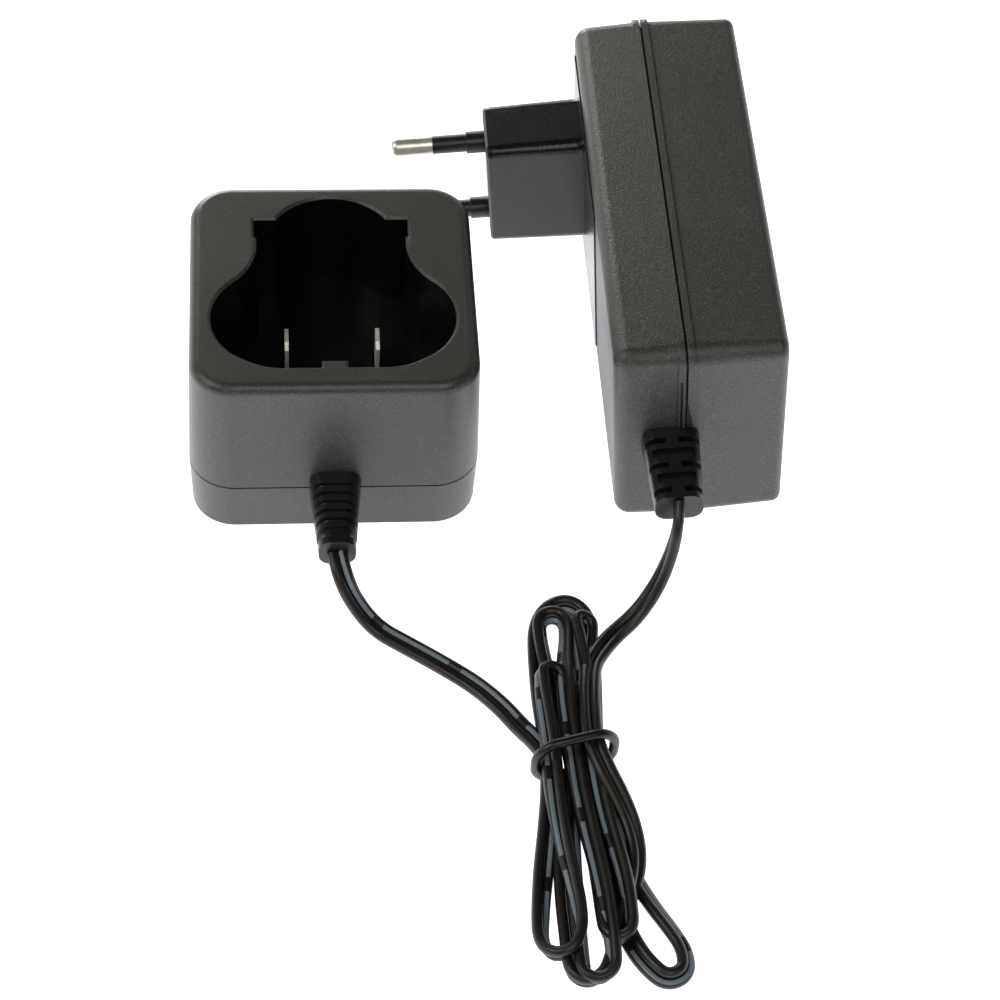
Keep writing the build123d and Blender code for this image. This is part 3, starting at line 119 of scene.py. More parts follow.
# %% The lead's route, in millimetres from the cup's middle
CUP_EXIT = (0.0, -42.25, 12.3)
CUP_LEAD = [
    (0.6, -46.2, 11.6), (2.8, -48.8, 6.4), (7.0, -52.0, 1.9), (12.6, -55.6, 1.5),
    (19.0, -60.2, 1.5), (24.6, -64.6, 1.5), (29.0, -69.4, 1.5), (32.0, -74.2, 1.9),
    (34.6, -78.4, 3.4),
]
ADAPTER_LEAD = [
    (46.2, -62.0, 5.4), (49.6, -57.0, 4.8), (54.4, -53.6, 6.6), (58.2, -50.2, 11.0),
    (60.6, -47.2, 17.0), (61.4, -45.6, 23.6),
]
ADAPTER_EXIT = (61.75, -41.85, 24.86)
STRAND, FOLD = "strand", "fold"
HANK_ROUTE = [
    (STRAND, -10, [(36.4, -83.0, 4.9), (36.4, -88.6, 4.4), (35.4, -96.0, 3.2), (33.8, -105.0, 2.2),
                   (32.8, -112.5, 2.0)]),
    (FOLD, -78, [(32.4, -118.0, 2.2), (34.2, -121.0, 3.0), (37.6, -120.8, 4.2),
                 (39.3, -117.2, 4.8), (39.2, -112.6, 5.1)]),
    (STRAND, -25, [(38.4, -107.0, 5.3), (37.6, -101.5, 5.6), (36.9, -95.0, 6.2),
                   (36.5, -88.5, 7.0), (36.5, -82.0, 7.3), (36.3, -75.5, 7.1),
                   (36.1, -70.6, 6.8)]),
    (FOLD, -80, [(36.1, -67.4, 6.7), (36.2, -65.0, 6.4), (38.1, -63.9, 5.7), (40.0, -65.0, 5.1),
                 (40.1, -67.6, 4.8)]),
    (STRAND, -40, [(40.2, -71.0, 4.7), (40.4, -76.0, 4.9), (40.6, -82.0, 5.2), (39.8, -89.0, 4.8),
                   (39.2, -96.0, 3.8), (39.0, -103.0, 3.1), (39.0, -110.0, 3.0),
                   (39.0, -116.5, 2.9)]),
    (FOLD, -70, [(39.1, -121.6, 2.8), (39.2, -124.4, 2.8), (41.8, -125.9, 3.0),
                 (44.4, -124.2, 3.6), (44.4, -120.6, 4.3), (44.2, -116.6, 5.0)]),
    (STRAND, -12, [(43.8, -111.0, 5.4), (43.0, -104.5, 5.6), (42.0, -98.0, 5.9),
                   (41.1, -91.5, 6.6), (40.5, -84.5, 7.2), (40.3, -78.5, 7.3),
                   (40.2, -73.0, 7.2), (40.3, -67.0, 6.6), (40.9, -61.0, 5.0)]),
    (FOLD, -72, [(41.7, -55.6, 3.8), (41.7, -51.5, 3.3), (39.3, -50.1, 3.1), (36.9, -51.5, 3.0),
                 (36.9, -55.8, 3.0)]),
    (STRAND, -30, [(37.4, -61.0, 3.0), (38.6, -67.5, 3.0), (39.8, -74.5, 3.0),
                   (40.6, -81.5, 3.1), (41.2, -88.5, 3.1), (42.2, -95.5, 3.2),
                   (43.0, -102.5, 3.0), (43.2, -109.0, 3.1)]),
    (FOLD, -75, [(43.3, -114.8, 3.2), (43.4, -117.4, 3.5), (45.7, -118.8, 3.9),
                 (48.0, -117.3, 4.4), (48.0, -113.6, 4.8)]),
    (STRAND, -20, [(47.6, -108.0, 5.0), (46.4, -101.5, 5.5), (45.2, -95.5, 6.1),
                   (44.4, -89.0, 6.9), (44.0, -82.5, 7.3), (43.9, -76.0, 7.0),
                   (43.8, -70.0, 6.4), (43.8, -63.5, 5.8), (43.6, -58.0, 5.4)]),
    (FOLD, -80, [(43.3, -55.4, 5.3), (43.3, -52.9, 5.1), (44.9, -51.8, 4.3), (46.5, -52.9, 3.5),
                 (46.3, -55.8, 3.1)]),
    (STRAND, -35, [(45.5, -59.5, 3.0), (45.1, -65.5, 3.6), (44.8, -72.5, 4.6),
                   (44.7, -79.5, 5.1), (45.0, -86.5, 5.0), (46.0, -93.0, 4.2),
                   (47.4, -99.5, 2.6), (49.4, -105.5, 1.8), (52.0, -111.0, 1.7),
                   (54.8, -115.8, 1.7)]),
    (FOLD, -48, [(56.9, -120.0, 1.7), (56.8, -124.2, 1.7), (53.2, -125.8, 1.7),
                 (50.2, -122.6, 1.7)]),
    (STRAND, -20, [(47.9, -118.2, 1.6), (46.4, -112.5, 1.5), (45.4, -106.0, 1.4),
                   (45.0, -99.5, 1.4), (44.9, -93.0, 1.8), (44.7, -86.5, 2.6),
                   (44.7, -80.0, 3.1), (45.1, -73.5, 2.4), (45.7, -67.0, 1.7),
                   (46.1, -60.5, 1.6), (46.2, -54.5, 1.7)]),
    (FOLD, -60, [(45.8, -49.6, 1.8), (42.6, -46.6, 1.8), (38.4, -48.4, 1.8), (36.2, -53.0, 1.8),
                 (35.9, -59.0, 1.7)]),
    (STRAND, -30, [(35.9, -65.5, 1.6), (36.1, -72.0, 2.0), (36.7, -78.5, 2.9),
                   (37.3, -85.0, 3.0), (37.6, -91.5, 2.2), (37.6, -98.0, 1.8),
                   (37.2, -104.5, 1.8), (36.9, -111.0, 1.8), (36.9, -116.6, 1.9)]),
    (FOLD, -75, [(36.9, -121.4, 1.9), (37.2, -124.0, 1.9), (39.6, -125.7, 1.9),
                 (42.4, -124.4, 1.9), (43.9, -121.4, 1.9)]),
    (STRAND, 8, [(45.4, -117.2, 2.2), (47.2, -112.6, 2.8), (49.2, -108.0, 3.2),
                 (50.4, -103.0, 3.8), (49.8, -97.5, 5.2), (47.8, -92.5, 7.2), (45.4, -87.5, 8.9),
                 (43.8, -82.0, 9.4), (43.9, -76.0, 8.9), (44.3, -70.5, 8.0), (45.0, -65.5, 6.8)]),
]
hank_points = [point for kind, tilt, points in HANK_ROUTE for point in points]
route = [CUP_EXIT] + CUP_LEAD + hank_points + ADAPTER_LEAD + [ADAPTER_EXIT]
print("route points", len(route))

# %% [markdown]
# The curve is made bare, with no thickness, and read back as a fine chain of points. That
# chain gives the lead's length and carries its section. The order is set after the points
# are added, because a new spline has too few points to hold it. Points that fall on the one
# before are left out, because they would have no direction.

# %% The bare curve and its length
STEPS_PER_POINT = 7
SAME_PLACE = 0.01 * MM


def nurbs_chain(points):
    """Fine points along a smooth NURBS curve with the given control points."""
    data = bpy.data.curves.new("lead_line", "CURVE")
    data.dimensions = "3D"
    spline = data.splines.new("NURBS")
    spline.points.add(len(points) - 1)
    for control, point in zip(spline.points, points):
        control.co = (*from_cup(*point), 1.0)
    spline.order_u = 3
    spline.use_endpoint_u = True
    spline.resolution_u = STEPS_PER_POINT
    line = bpy.data.objects.new("lead_line", data)
    mesh = bpy.data.meshes.new_from_object(line)
    places = [vertex.co.copy() for vertex in mesh.vertices]
    chain = places[:1] + [there for here, there in zip(places, places[1:])
                          if (there - here).length > SAME_PLACE]
    bpy.data.meshes.remove(mesh)
    bpy.data.objects.remove(line)
    return chain


chain = nurbs_chain(route)
distances = [0.0]
for here, there in zip(chain, chain[1:]):
    distances.append(distances[-1] + (there - here).length)

# %% [markdown]
# A twin lead is flat, so the way it faces matters as much as its line. A frame is carried
# along the chain with as little twist as it can have. The middle of each strand and the turn
# of each fold have a tilt of their own, and at the adapter the lead comes out on edge. Between
# those places the turn is shared out evenly.

# %% How the lead faces along its length
UP = Vector((0.0, 0.0, 1.0))
EXIT_TILT = radians(90.0)
POINTS_AHEAD = 6


def tangents_of(points):
    """Direction of the chain at each of its points."""
    ends = [points[0]] + points + [points[-1]]
    return [(after - before).normalized() for before, after in zip(ends, ends[2:])]


def carried_sides(tangents):
    """Sideways directions that turn only as much as the chain itself does."""
    side = UP.cross(tangents[0]).normalized()
    sides = [side]
    for before, after in zip(tangents, tangents[1:]):
        side = before.rotation_difference(after) @ side
        side = (side - after * side.dot(after)).normalized()
        sides.append(side)
    return sides


def nearest_index(point, start):
    """Index of the chain's first closest point to a control point, from a start on."""
    window = range(start, min(start + POINTS_AHEAD * STEPS_PER_POINT, len(chain)))
    return min(window, key=lambda index: (chain[index] - point).length)


def flat_angle(index, tilt):
    """Turn that lays the lead flat at one chain point, tilted about its own line."""
    flat = UP.cross(tangents[index]).normalized()
    side = sides[index]
    upward = tangents[index].cross(side)
    return atan2(flat.dot(upward), flat.dot(side)) + tilt


def wanted_tilts():
    """For each control point the tilt that the lead must have there, or None in a fold."""
    tilts = [0.0] * (1 + len(CUP_LEAD))
    for kind, tilt, points in HANK_ROUTE:
        middle = len(points) // 2
        kept = (middle,) if kind == STRAND else (middle - 1, middle)
        tilts += [radians(tilt) if index in kept else None for index in range(len(points))]
    free = len(ADAPTER_LEAD) - 2
    return tilts + [0.0, 0.0] + [None] * (free - 1) + [EXIT_TILT] * 2


def turns_along():
    """Turn of the lead's frame at every chain point."""
    keys = []
    index = 0
    for point, tilt in zip(route, wanted_tilts()):
        index = nearest_index(from_cup(*point), index)
        if tilt is None:
            continue
        turn = flat_angle(index, tilt)
        if keys:
            turn += pi * round((keys[-1][1] - turn) / pi)
        keys.append((index, turn))
    turns = []
    for (first, low), (last, high) in zip(keys, keys[1:]):
        span = distances[last] - distances[first]
        for step in range(first, last):
            share = (distances[step] - distances[first]) / span
            turns.append(low + (high - low) * share)
    return turns + [keys[-1][1]] * (len(chain) - len(turns))


tangents = tangents_of(chain)
sides = carried_sides(tangents)
turns = turns_along()
print("frames carried along", len(turns), "points")

# %% [markdown]
# Two round cores with a web between them make a section like an eight. The section is set
# across the chain at every point and skinned to the one before. The skin is unrolled as it
# is made: U counts the metres along the lead, and V goes once round the section, so that a
# printed stripe can follow one core. Where the lead stands on edge it needs more height, so
# it is lifted until the lower core clears the table.

# %% The lead's skin
CORE_RADIUS = 1.0 * MM
CORE_OFFSET = 0.95 * MM
CORE_STEPS = 13
GROOVE = pi - acos(CORE_OFFSET / CORE_RADIUS)
LEAD_CREASE = radians(50.0)


def twin_section():
    """Sideways and upward places round both cores, from the lower groove round the right."""
    arc = [-GROOVE + 2 * GROOVE * step / (CORE_STEPS - 1) for step in range(CORE_STEPS)]
    right = [(CORE_OFFSET + CORE_RADIUS * cos(angle), CORE_RADIUS * sin(angle)) for angle in arc]
    left = [(-across, -up) for across, up in right[1:-1]]
    return right + left


def lead_skin(name, section):
    """A mesh tube of that section along the chain, with its unrolled coordinates."""
    vertices = []
    for point, tangent, side, turn in zip(chain, tangents, sides, turns):
        upward = tangent.cross(side)
        across = side * cos(turn) + upward * sin(turn)
        lift = tangent.cross(across)
        clear = CORE_RADIUS + CORE_OFFSET * abs(across.z)
        middle = Vector((point.x, point.y, max(point.z, clear)))
        vertices += [middle + across * x + lift * y for x, y in section]
    count = len(section)
    faces, unrolled = [], []
    for ring in range(len(chain) - 1):
        for step in range(count):
            low, high = ring * count, (ring + 1) * count
            after = (step + 1) % count
            faces.append((low + step, low + after, high + after, high + step))
            near, far = distances[ring], distances[ring + 1]
            start, stop = step / count, (step + 1) / count
            unrolled += [(near, start), (near, stop), (far, stop), (far, start)]
    last = (len(chain) - 1) * count
    faces.append(tuple(reversed(range(count))))
    faces.append(tuple(range(last, last + count)))
    unrolled += [(0.0, 0.0)] * (2 * count)
    mesh = bpy.data.meshes.new(name)
    mesh.from_pydata(vertices, [], faces)
    layer = mesh.uv_layers.new(name="lead_uv")
    for corner, place in zip(layer.data, unrolled):
        corner.uv = place
    piece = bpy.data.objects.new(name, mesh)
    bpy.context.scene.collection.objects.link(piece)
    return piece


def pick(piece):
    """Makes a piece the only one that is selected, and the active one."""
    bpy.ops.object.select_all(action="DESELECT")
    piece.select_set(True)
    bpy.context.view_layer.objects.active = piece


lead = lead_skin("twin_lead", twin_section())
pick(lead)
bpy.ops.object.shade_smooth_by_angle(angle=LEAD_CREASE)
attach(lead, "root")
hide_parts("cord_cup_lead", "cord_adapter_lead", "cord_hank")
print("lead skin", len(lead.data.polygons), "faces")

# %% [markdown]
# The tie is a closed ring of round cord pulled tight round the hank's waist. A flat plane
# already has the four corners of that ring: its corners are rounded, its face is thrown
# away, and the outline that is left is given a round thickness as a curve.

# %% The tie
TIE_MIDDLE = (40.8, -83.25, 6.2)
TIE_TURN = radians(14.0)
TIE_BAND = 1.8
TIE_INSIDE = (12.85, 8.6)
TIE_CORNER = 4.3
CORNER_STEPS = 10
BAND_STEPS = 6


def tie_ring():
    """A rounded rectangle outline that stands upright, thickened to a round band."""
    bpy.ops.object.select_all(action="DESELECT")
    turn = (pi / 2, 0.0, TIE_TURN)
    bpy.ops.mesh.primitive_plane_add(size=MM, location=from_cup(*TIE_MIDDLE), rotation=turn)
    ring = bpy.context.object
    ring.name = "tie_ring"
    bpy.ops.object.mode_set(mode="EDIT")
    width, height = [length + TIE_BAND for length in TIE_INSIDE]
    bpy.ops.transform.resize(value=(width, height, 1.0), orient_type="LOCAL")
    bpy.ops.mesh.bevel(offset=TIE_CORNER * MM, segments=CORNER_STEPS, affect="VERTICES")
    bpy.ops.mesh.delete(type="ONLY_FACE")
    bpy.ops.object.mode_set(mode="OBJECT")
    bpy.ops.object.convert(target="CURVE")
    ring.data.bevel_depth = TIE_BAND / 2 * MM
    ring.data.bevel_resolution = BAND_STEPS
    bpy.ops.object.convert(target="MESH")
    bpy.ops.object.transform_apply(location=True, rotation=True, scale=True)
    bpy.ops.object.shade_smooth()
    return bpy.context.object


tie = tie_ring()
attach(tie, "root")
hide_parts("cord_tie")
print("tie", len(tie.data.polygons), "faces", [round(size / MM, 1) for size in tie.dimensions])

# %% [markdown]
# No moulded part has a truly sharp edge: the mould's own edges are worn and polished, and
# the small rounds catch the light. The solids have sharp edges, so each piece that shows is
# copied, its loose triangles are merged and paired up, and a narrow bevel runs along every
# hard edge. The base's outer rim is first let down by a third of a millimetre, and the gap
# shows as a dark line at the seam. Weighted normals let the large flat faces keep their own
# shading beside the narrow rounds. The copy then stands for its solid.

# %% Softened copies of the rigid pieces
HARD_EDGE = radians(32.0)
SAME_POINT = 0.002 * MM
SAME_PLANE = radians(1.0)
SKEWED_PAIR = radians(60.0)
ROUND_STEPS = 2
FACE_WEIGHT = 100
SEAM_HEIGHT = 12.3
SEAM_BAND = 0.05
SEAM_GAP = 0.32
RIM_WIDTH = 0.5
CORNER_RADIUS = 8.6


def inward(point):
    """How far a point lies inside the base's rounded outline, in millimetres."""
    reach = [max(abs(value) - size / 2 + CORNER_RADIUS * MM, 0.0)
             for value, size in zip(point - CUP_MIDDLE, base_high - base_low)]
    return CORNER_RADIUS - Vector(reach[:2]).length / MM


def open_seam(piece):
    """Lets the base's outer rim down, so that a narrow gap is left under the shell."""
    bpy.ops.object.mode_set(mode="OBJECT")
    for vertex in piece.data.vertices:
        at_seam = abs(vertex.co.z / MM - SEAM_HEIGHT) < SEAM_BAND
        vertex.select = at_seam and inward(vertex.co) < RIM_WIDTH
    print("rim points let down", sum(vertex.select for vertex in piece.data.vertices))
    bpy.ops.object.mode_set(mode="EDIT")
    bpy.ops.transform.translate(value=(0.0, 0.0, -SEAM_GAP * MM))


def softened(solid, width):
    """A merged copy of a solid with narrow rounds along its hard edges."""
    piece = bpy.data.objects.new(solid + "_moulded", frame["nodes"][solid].data.copy())
    bpy.context.scene.collection.objects.link(piece)
    pick(piece)
    bpy.ops.object.mode_set(mode="EDIT")
    bpy.ops.mesh.select_all(action="SELECT")
    bpy.ops.mesh.remove_doubles(threshold=SAME_POINT)
    bpy.ops.mesh.tris_convert_to_quads(face_threshold=SAME_PLANE, shape_threshold=SKEWED_PAIR)
    if solid == "cup_base":
        bpy.ops.mesh.select_all(action="DESELECT")
        bpy.ops.mesh.select_mode(type="VERT")
        open_seam(piece)
    bpy.ops.object.mode_set(mode="OBJECT")
    bpy.ops.object.shade_smooth_by_angle(angle=HARD_EDGE)
    rounds = piece.modifiers.new("rounds", "BEVEL")
    rounds.width = width * MM
    rounds.segments = ROUND_STEPS
    rounds.limit_method = "ANGLE"
    rounds.angle_limit = HARD_EDGE
    bpy.ops.object.modifier_apply(modifier=rounds.name)
    facing = piece.modifiers.new("facing", "WEIGHTED_NORMAL")
    facing.weight = FACE_WEIGHT
    facing.keep_sharp = True
    bpy.ops.object.modifier_apply(modifier=facing.name)
    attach(piece, "root")
    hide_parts(solid)
    print(piece.name, len(piece.data.polygons), "faces")
    return piece


EDGE_ROUNDS = {
    "cup_shell": 0.18, "cup_base": 0.18, "cup_strain_relief": 0.15,
    "adapter_pin_shell": 0.15, "adapter_cover_shell": 0.15, "adapter_strain_relief": 0.15,
    "plug_insert": 0.12, "plug_pin_upper": 0.1, "plug_pin_lower": 0.1,
    "pin_sleeve_upper": 0.1, "pin_sleeve_lower": 0.1,
    "contact_blade_left": 0.08, "contact_blade_right": 0.08,
}
moulded = {solid: softened(solid, width) for solid, width in EDGE_ROUNDS.items()}

# %% [markdown]
# Every finish starts from the same shader. A small helper sets its plain values, and another
# adds a texture node with its settings. Textures read the piece's own place in millimetres,
# so a grain of a quarter millimetre is that size on every piece.

# %% Helpers for finishes
def finish_base(name, colour, roughness, metallic=0.0):
    """A new material with its shader's plain values set."""
    material = bpy.data.materials.new(name)
    material.use_nodes = True
    shader = material.node_tree.nodes["Principled BSDF"]
    shader.inputs["Base Color"].default_value = (*colour, 1.0)
    shader.inputs["Roughness"].default_value = roughness
    shader.inputs["Metallic"].default_value = metallic
    return material


def node(material, kind, **settings):
    """A new node of that kind, with its settings and the values of its sockets."""
    made = material.node_tree.nodes.new(kind)
    for name, value in settings.items():
        if name in made.bl_rna.properties:
            setattr(made, name, value)
        else:
            made.inputs[name.replace("_", " ")].default_value = value
    return made


def join(material, start, end):
    """Links an output socket to an input socket."""
    material.node_tree.links.new(start, end)


def shader_of(material):
    """The material's main shader."""
    return material.node_tree.nodes["Principled BSDF"]


def millimetres(material, stretch=(1.0, 1.0, 1.0)):
    """Place on the piece in millimetres, stretched along an axis where a grain is long."""
    place = node(material, "ShaderNodeTexCoord")
    scale = node(material, "ShaderNodeMapping", vector_type="POINT")
    scale.inputs["Scale"].default_value = [factor / MM for factor in stretch]
    join(material, place.outputs["Object"], scale.inputs["Vector"])
    return scale.outputs["Vector"]


def noise(material, place, scale, detail=2.0, roughness=0.5):
    """Grey noise with about so many lumps in a millimetre."""
    lumps = node(material, "ShaderNodeTexNoise", Scale=scale, Detail=detail, Roughness=roughness)
    join(material, place, lumps.inputs["Vector"])
    return lumps.outputs["Fac"]


def ramp(material, value, stops):
    """Turns a value into a colour by (position, colour) stops."""
    made = node(material, "ShaderNodeValToRGB")
    elements = made.color_ramp.elements
    while len(elements) < len(stops):
        elements.new(0.5)
    for element, (position, colour) in zip(elements, stops):
        element.position = position
        element.color = (*colour, 1.0)
    join(material, value, made.inputs["Fac"])
    return made.outputs["Color"]


def bump(material, value, depth, strength=1.0, under=None):
    """Raises the surface by a value, to a depth in millimetres, over an earlier bump."""
    made = node(material, "ShaderNodeBump", Strength=strength, Distance=depth * MM)
    join(material, value, made.inputs["Height"])
    if under is not None:
        join(material, under, made.inputs["Normal"])
    return made.outputs["Normal"]


def spread(material, value, low, high):
    """Maps a value from 0..1 to low..high."""
    made = node(material, "ShaderNodeMapRange")
    made.inputs["To Min"].default_value = low
    made.inputs["To Max"].default_value = high
    join(material, value, made.inputs["Value"])
    return made.outputs["Result"]


print("finish helpers ready")

# %% [markdown]
# Black housings are moulded in a tool whose face is etched by sparks. The etching leaves a
# fine grain that scatters the light. The grain's colour follows its height: the pits are
# painted darker, as painted shade, and the raised lumps lighter, as painted glints where tiny
# facets would flash. The adapter's grain is coarser and deeper than the cup's, and the plug's
# is shallower and glossier than both.

# %% Moulded black plastic
SHADED_SHARE = 0.6
FACET_GLINT_PAINT = 0.012
CLOUD_SCALE = 0.06
WAVE_SCALE = 0.18
WAVE_DEPTH = 0.02


def etched_plastic(name, colour, roughness, grain, depth, painted_glint):
    """Black plastic with a spark-etched grain: lumps per mm, depth in mm, and the strength of its
    painted glints.
    """
    material = finish_base(name, colour, roughness)
    place = millimetres(material)
    lumps = noise(material, place, grain, detail=3.0, roughness=0.6)
    cloud = noise(material, place, CLOUD_SCALE)
    # Painted light: the raised lumps are painted lighter as glints, and the pits darker as shade.
    bright = [channel * (1.0 + painted_glint) + FACET_GLINT_PAINT * painted_glint for channel in colour]
    dark = [channel * SHADED_SHARE for channel in colour]
    tone = ramp(material, lumps, [(0.3, dark), (0.55, colour), (0.74, bright)])
    join(material, tone, shader_of(material).inputs["Base Color"])
    shine = spread(material, cloud, roughness - 0.05, roughness + 0.06)
    join(material, shine, shader_of(material).inputs["Roughness"])
    waves = bump(material, noise(material, place, WAVE_SCALE), WAVE_DEPTH, strength=0.35)
    grain_normal = bump(material, lumps, depth, strength=0.8, under=waves)
    join(material, grain_normal, shader_of(material).inputs["Normal"])
    return material


cup_plastic = etched_plastic("cup_plastic", (0.045, 0.0442, 0.0422), 0.36, 3.0, 0.055, 0.8)
adapter_plastic = etched_plastic("adapter_plastic", (0.046, 0.0458, 0.0435), 0.4, 2.3, 0.12, 0.9)
plug_plastic = etched_plastic("plug_plastic", (0.003, 0.0029, 0.003), 0.25, 2.4, 0.05, 1.8)
print("black plastics", [material.name for material in (cup_plastic, adapter_plastic, plug_plastic)])

# %% [markdown]
# The strain reliefs, the pin sleeves and the tie are of softer plastic, smoother than the
# housings, with a faint waxy sheen and a few shallow dents from handling.

# %% Soft black plastic
PATCH_SCALE = 0.35
PATCH_LIGHTER = 1.35
FINE_SCALE = 5.0
FINE_DEPTH = 0.012
WELL_SPECULAR = 0.3


def soft_plastic(name, colour, roughness, dent=0.03):
    """Soft smooth plastic with a slightly uneven sheen."""
    material = finish_base(name, colour, roughness)
    place = millimetres(material)
    patches = noise(material, place, PATCH_SCALE, detail=3.0)
    lighter = [channel * PATCH_LIGHTER for channel in colour]
    tone = ramp(material, patches, [(0.3, colour), (0.7, lighter)])
    join(material, tone, shader_of(material).inputs["Base Color"])
    join(material, spread(material, patches, roughness - 0.08, roughness + 0.08),
         shader_of(material).inputs["Roughness"])
    fine = bump(material, noise(material, place, FINE_SCALE), FINE_DEPTH, strength=0.5)
    normal = bump(material, patches, dent, strength=0.5, under=fine)
    join(material, normal, shader_of(material).inputs["Normal"])
    return material


relief_plastic = soft_plastic("relief_plastic", (0.0075, 0.007, 0.0073), 0.36)
sleeve_plastic = soft_plastic("sleeve_plastic", (0.007, 0.0072, 0.007), 0.36)
tie_plastic = soft_plastic("tie_plastic", (0.005, 0.0053, 0.006), 0.34)
# The well's finish is this soft plastic made darker, as painted shade for the faces deep in the well
# and in the parting line, with its specular level turned down.
recess_shade_plastic = soft_plastic("recess_shade_plastic", (0.003, 0.0028, 0.003), 0.36, dent=0.01)
shader_of(recess_shade_plastic).inputs["Specular IOR Level"].default_value = WELL_SPECULAR
print("soft plastics ready")

# %% [markdown]
# The lead's jacket is drawn out through a die, so its marks run along it. One core carries a
# printed stripe of dull blue grey, broken by short gaps, which tells the two wires apart.

# %% Lead jacket with its broken stripe
DASH_PITCH = 17.2
DASH_SHARE = 0.84
STRIPE_MIDDLE = radians(118.0)
STRIPE_HALF = radians(24.0)
JACKET = (0.0065, 0.006, 0.0055)
STRIPE = (0.2, 0.25, 0.305)
WORN_INK = 0.8
LIGHT_RUBBER = 1.5
DRAWN_MARKS = (0.15 / MM, 40.0, 1.0)


def maths(material, operation, first, second):
    """One sum on a value and a plain number, or on two values."""
    made = node(material, "ShaderNodeMath", operation=operation)
    join(material, first, made.inputs[0])
    if isinstance(second, float):
        made.inputs[1].default_value = second
    else:
        join(material, second, made.inputs[1])
    return made.outputs["Value"]


def round_share(angle):
    """V on the unrolled skin of an angle round the right core."""
    steps = (angle + GROOVE) / (2 * GROOVE) * (CORE_STEPS - 1)
    return steps / (2 * CORE_STEPS - 2)


def jacket_finish():
    """Black jacket, with dashes on one core taken from the unrolled coordinates."""
    material = finish_base("lead_jacket", JACKET, 0.4)
    unrolled = node(material, "ShaderNodeUVMap", uv_map="lead_uv")
    parts = node(material, "ShaderNodeSeparateXYZ")
    join(material, unrolled.outputs["UV"], parts.inputs["Vector"])
    along = maths(material, "MULTIPLY", parts.outputs["X"], 1.0 / (DASH_PITCH * MM))
    dash = maths(material, "LESS_THAN", maths(material, "FRACT", along, 0.0), DASH_SHARE)
    start = maths(material, "GREATER_THAN", parts.outputs["Y"],
                  round_share(STRIPE_MIDDLE - STRIPE_HALF))
    stop = maths(material, "LESS_THAN", parts.outputs["Y"],
                 round_share(STRIPE_MIDDLE + STRIPE_HALF))
    mask = maths(material, "MULTIPLY", dash, maths(material, "MULTIPLY", start, stop))
    stretched = node(material, "ShaderNodeMapping", vector_type="POINT")
    stretched.inputs["Scale"].default_value = DRAWN_MARKS
    join(material, unrolled.outputs["UV"], stretched.inputs["Vector"])
    drawn = noise(material, stretched.outputs["Vector"], 1.0, detail=4.0)
    worn = [channel * WORN_INK for channel in STRIPE]
    ink = ramp(material, drawn, [(0.3, worn), (0.7, STRIPE)])
    light = [channel * LIGHT_RUBBER for channel in JACKET]
    rubber = ramp(material, drawn, [(0.3, JACKET), (0.75, light)])
    blend = node(material, "ShaderNodeMix", data_type="RGBA")
    join(material, mask, blend.inputs["Factor"])
    join(material, rubber, blend.inputs["A"])
    join(material, ink, blend.inputs["B"])
    join(material, blend.outputs["Result"], shader_of(material).inputs["Base Color"])
    join(material, spread(material, drawn, 0.32, 0.5), shader_of(material).inputs["Roughness"])
    join(material, bump(material, drawn, 0.06, strength=0.8), shader_of(material).inputs["Normal"])
    return material


lead_jacket = jacket_finish()
print("stripe from", round(round_share(STRIPE_MIDDLE - STRIPE_HALF), 3))

# %% [markdown]
# The pins are turned from brass and nickel plated: bright, with fine rings from the lathe
# and hairline scratches from the socket. The contact blades are stamped from spring brass
# and tinned, duller, with the grain of the rolled sheet. Both are set less than fully
# metallic, which isn't physical but keeps them light where only dark things are reflected.

# %% Metals
DULL_SHARE = 0.82


def plated_metal(name, colour, roughness, stretch, scratch, metallic=1.0):
    """Plated metal with fine marks along one axis."""
    material = finish_base(name, colour, roughness, metallic)
    marks = noise(material, millimetres(material, stretch), 1.0, detail=4.0, roughness=0.7)
    tarnish = noise(material, millimetres(material), 0.5, detail=3.0)
    dull = [channel * DULL_SHARE for channel in colour]
    tone = ramp(material, tarnish, [(0.35, dull), (0.65, colour)])
    join(material, tone, shader_of(material).inputs["Base Color"])
    join(material, spread(material, marks, roughness - 0.07, roughness + 0.1),
         shader_of(material).inputs["Roughness"])
    join(material, bump(material, marks, scratch, strength=0.5), shader_of(material).inputs["Normal"])
    return material


pin_nickel = plated_metal("pin_nickel", (0.97, 0.95, 0.88), 0.3, (2.0, 0.4, 0.4), 0.001, 0.8)
blade_tin = plated_metal("blade_tin", (0.98, 0.96, 0.9), 0.4, (0.5, 0.5, 7.0), 0.02, 0.4)
screw_zinc = plated_metal("screw_zinc", (0.55, 0.56, 0.58), 0.32, (3.0, 3.0, 0.5), 0.02)
sink_metal = plated_metal("sink_metal", (0.7, 0.71, 0.72), 0.42, (0.4, 6.0, 0.4), 0.03)
print("metals ready")

# %% [markdown]
# Nobody sees the boards and components without opening a housing, but each still gets the
# finish it would have: green resin over copper, grey ferrite, shrink sleeve, glass, epoxy.

# %% Finishes inside the housings
def coated(name, colour, roughness, scale, change, depth, metallic=0.0):
    """A coated or cast surface with patches of another tone and a shallow relief."""
    material = finish_base(name, colour, roughness, metallic)
    place = millimetres(material)
    patches = noise(material, place, scale, detail=4.0)
    other = [min(1.0, channel * change) for channel in colour]
    tone = ramp(material, patches, [(0.35, colour), (0.65, other)])
    join(material, tone, shader_of(material).inputs["Base Color"])
    join(material, spread(material, patches, roughness - 0.06, roughness + 0.08),
         shader_of(material).inputs["Roughness"])
    join(material, bump(material, patches, depth, strength=0.6), shader_of(material).inputs["Normal"])
    return material


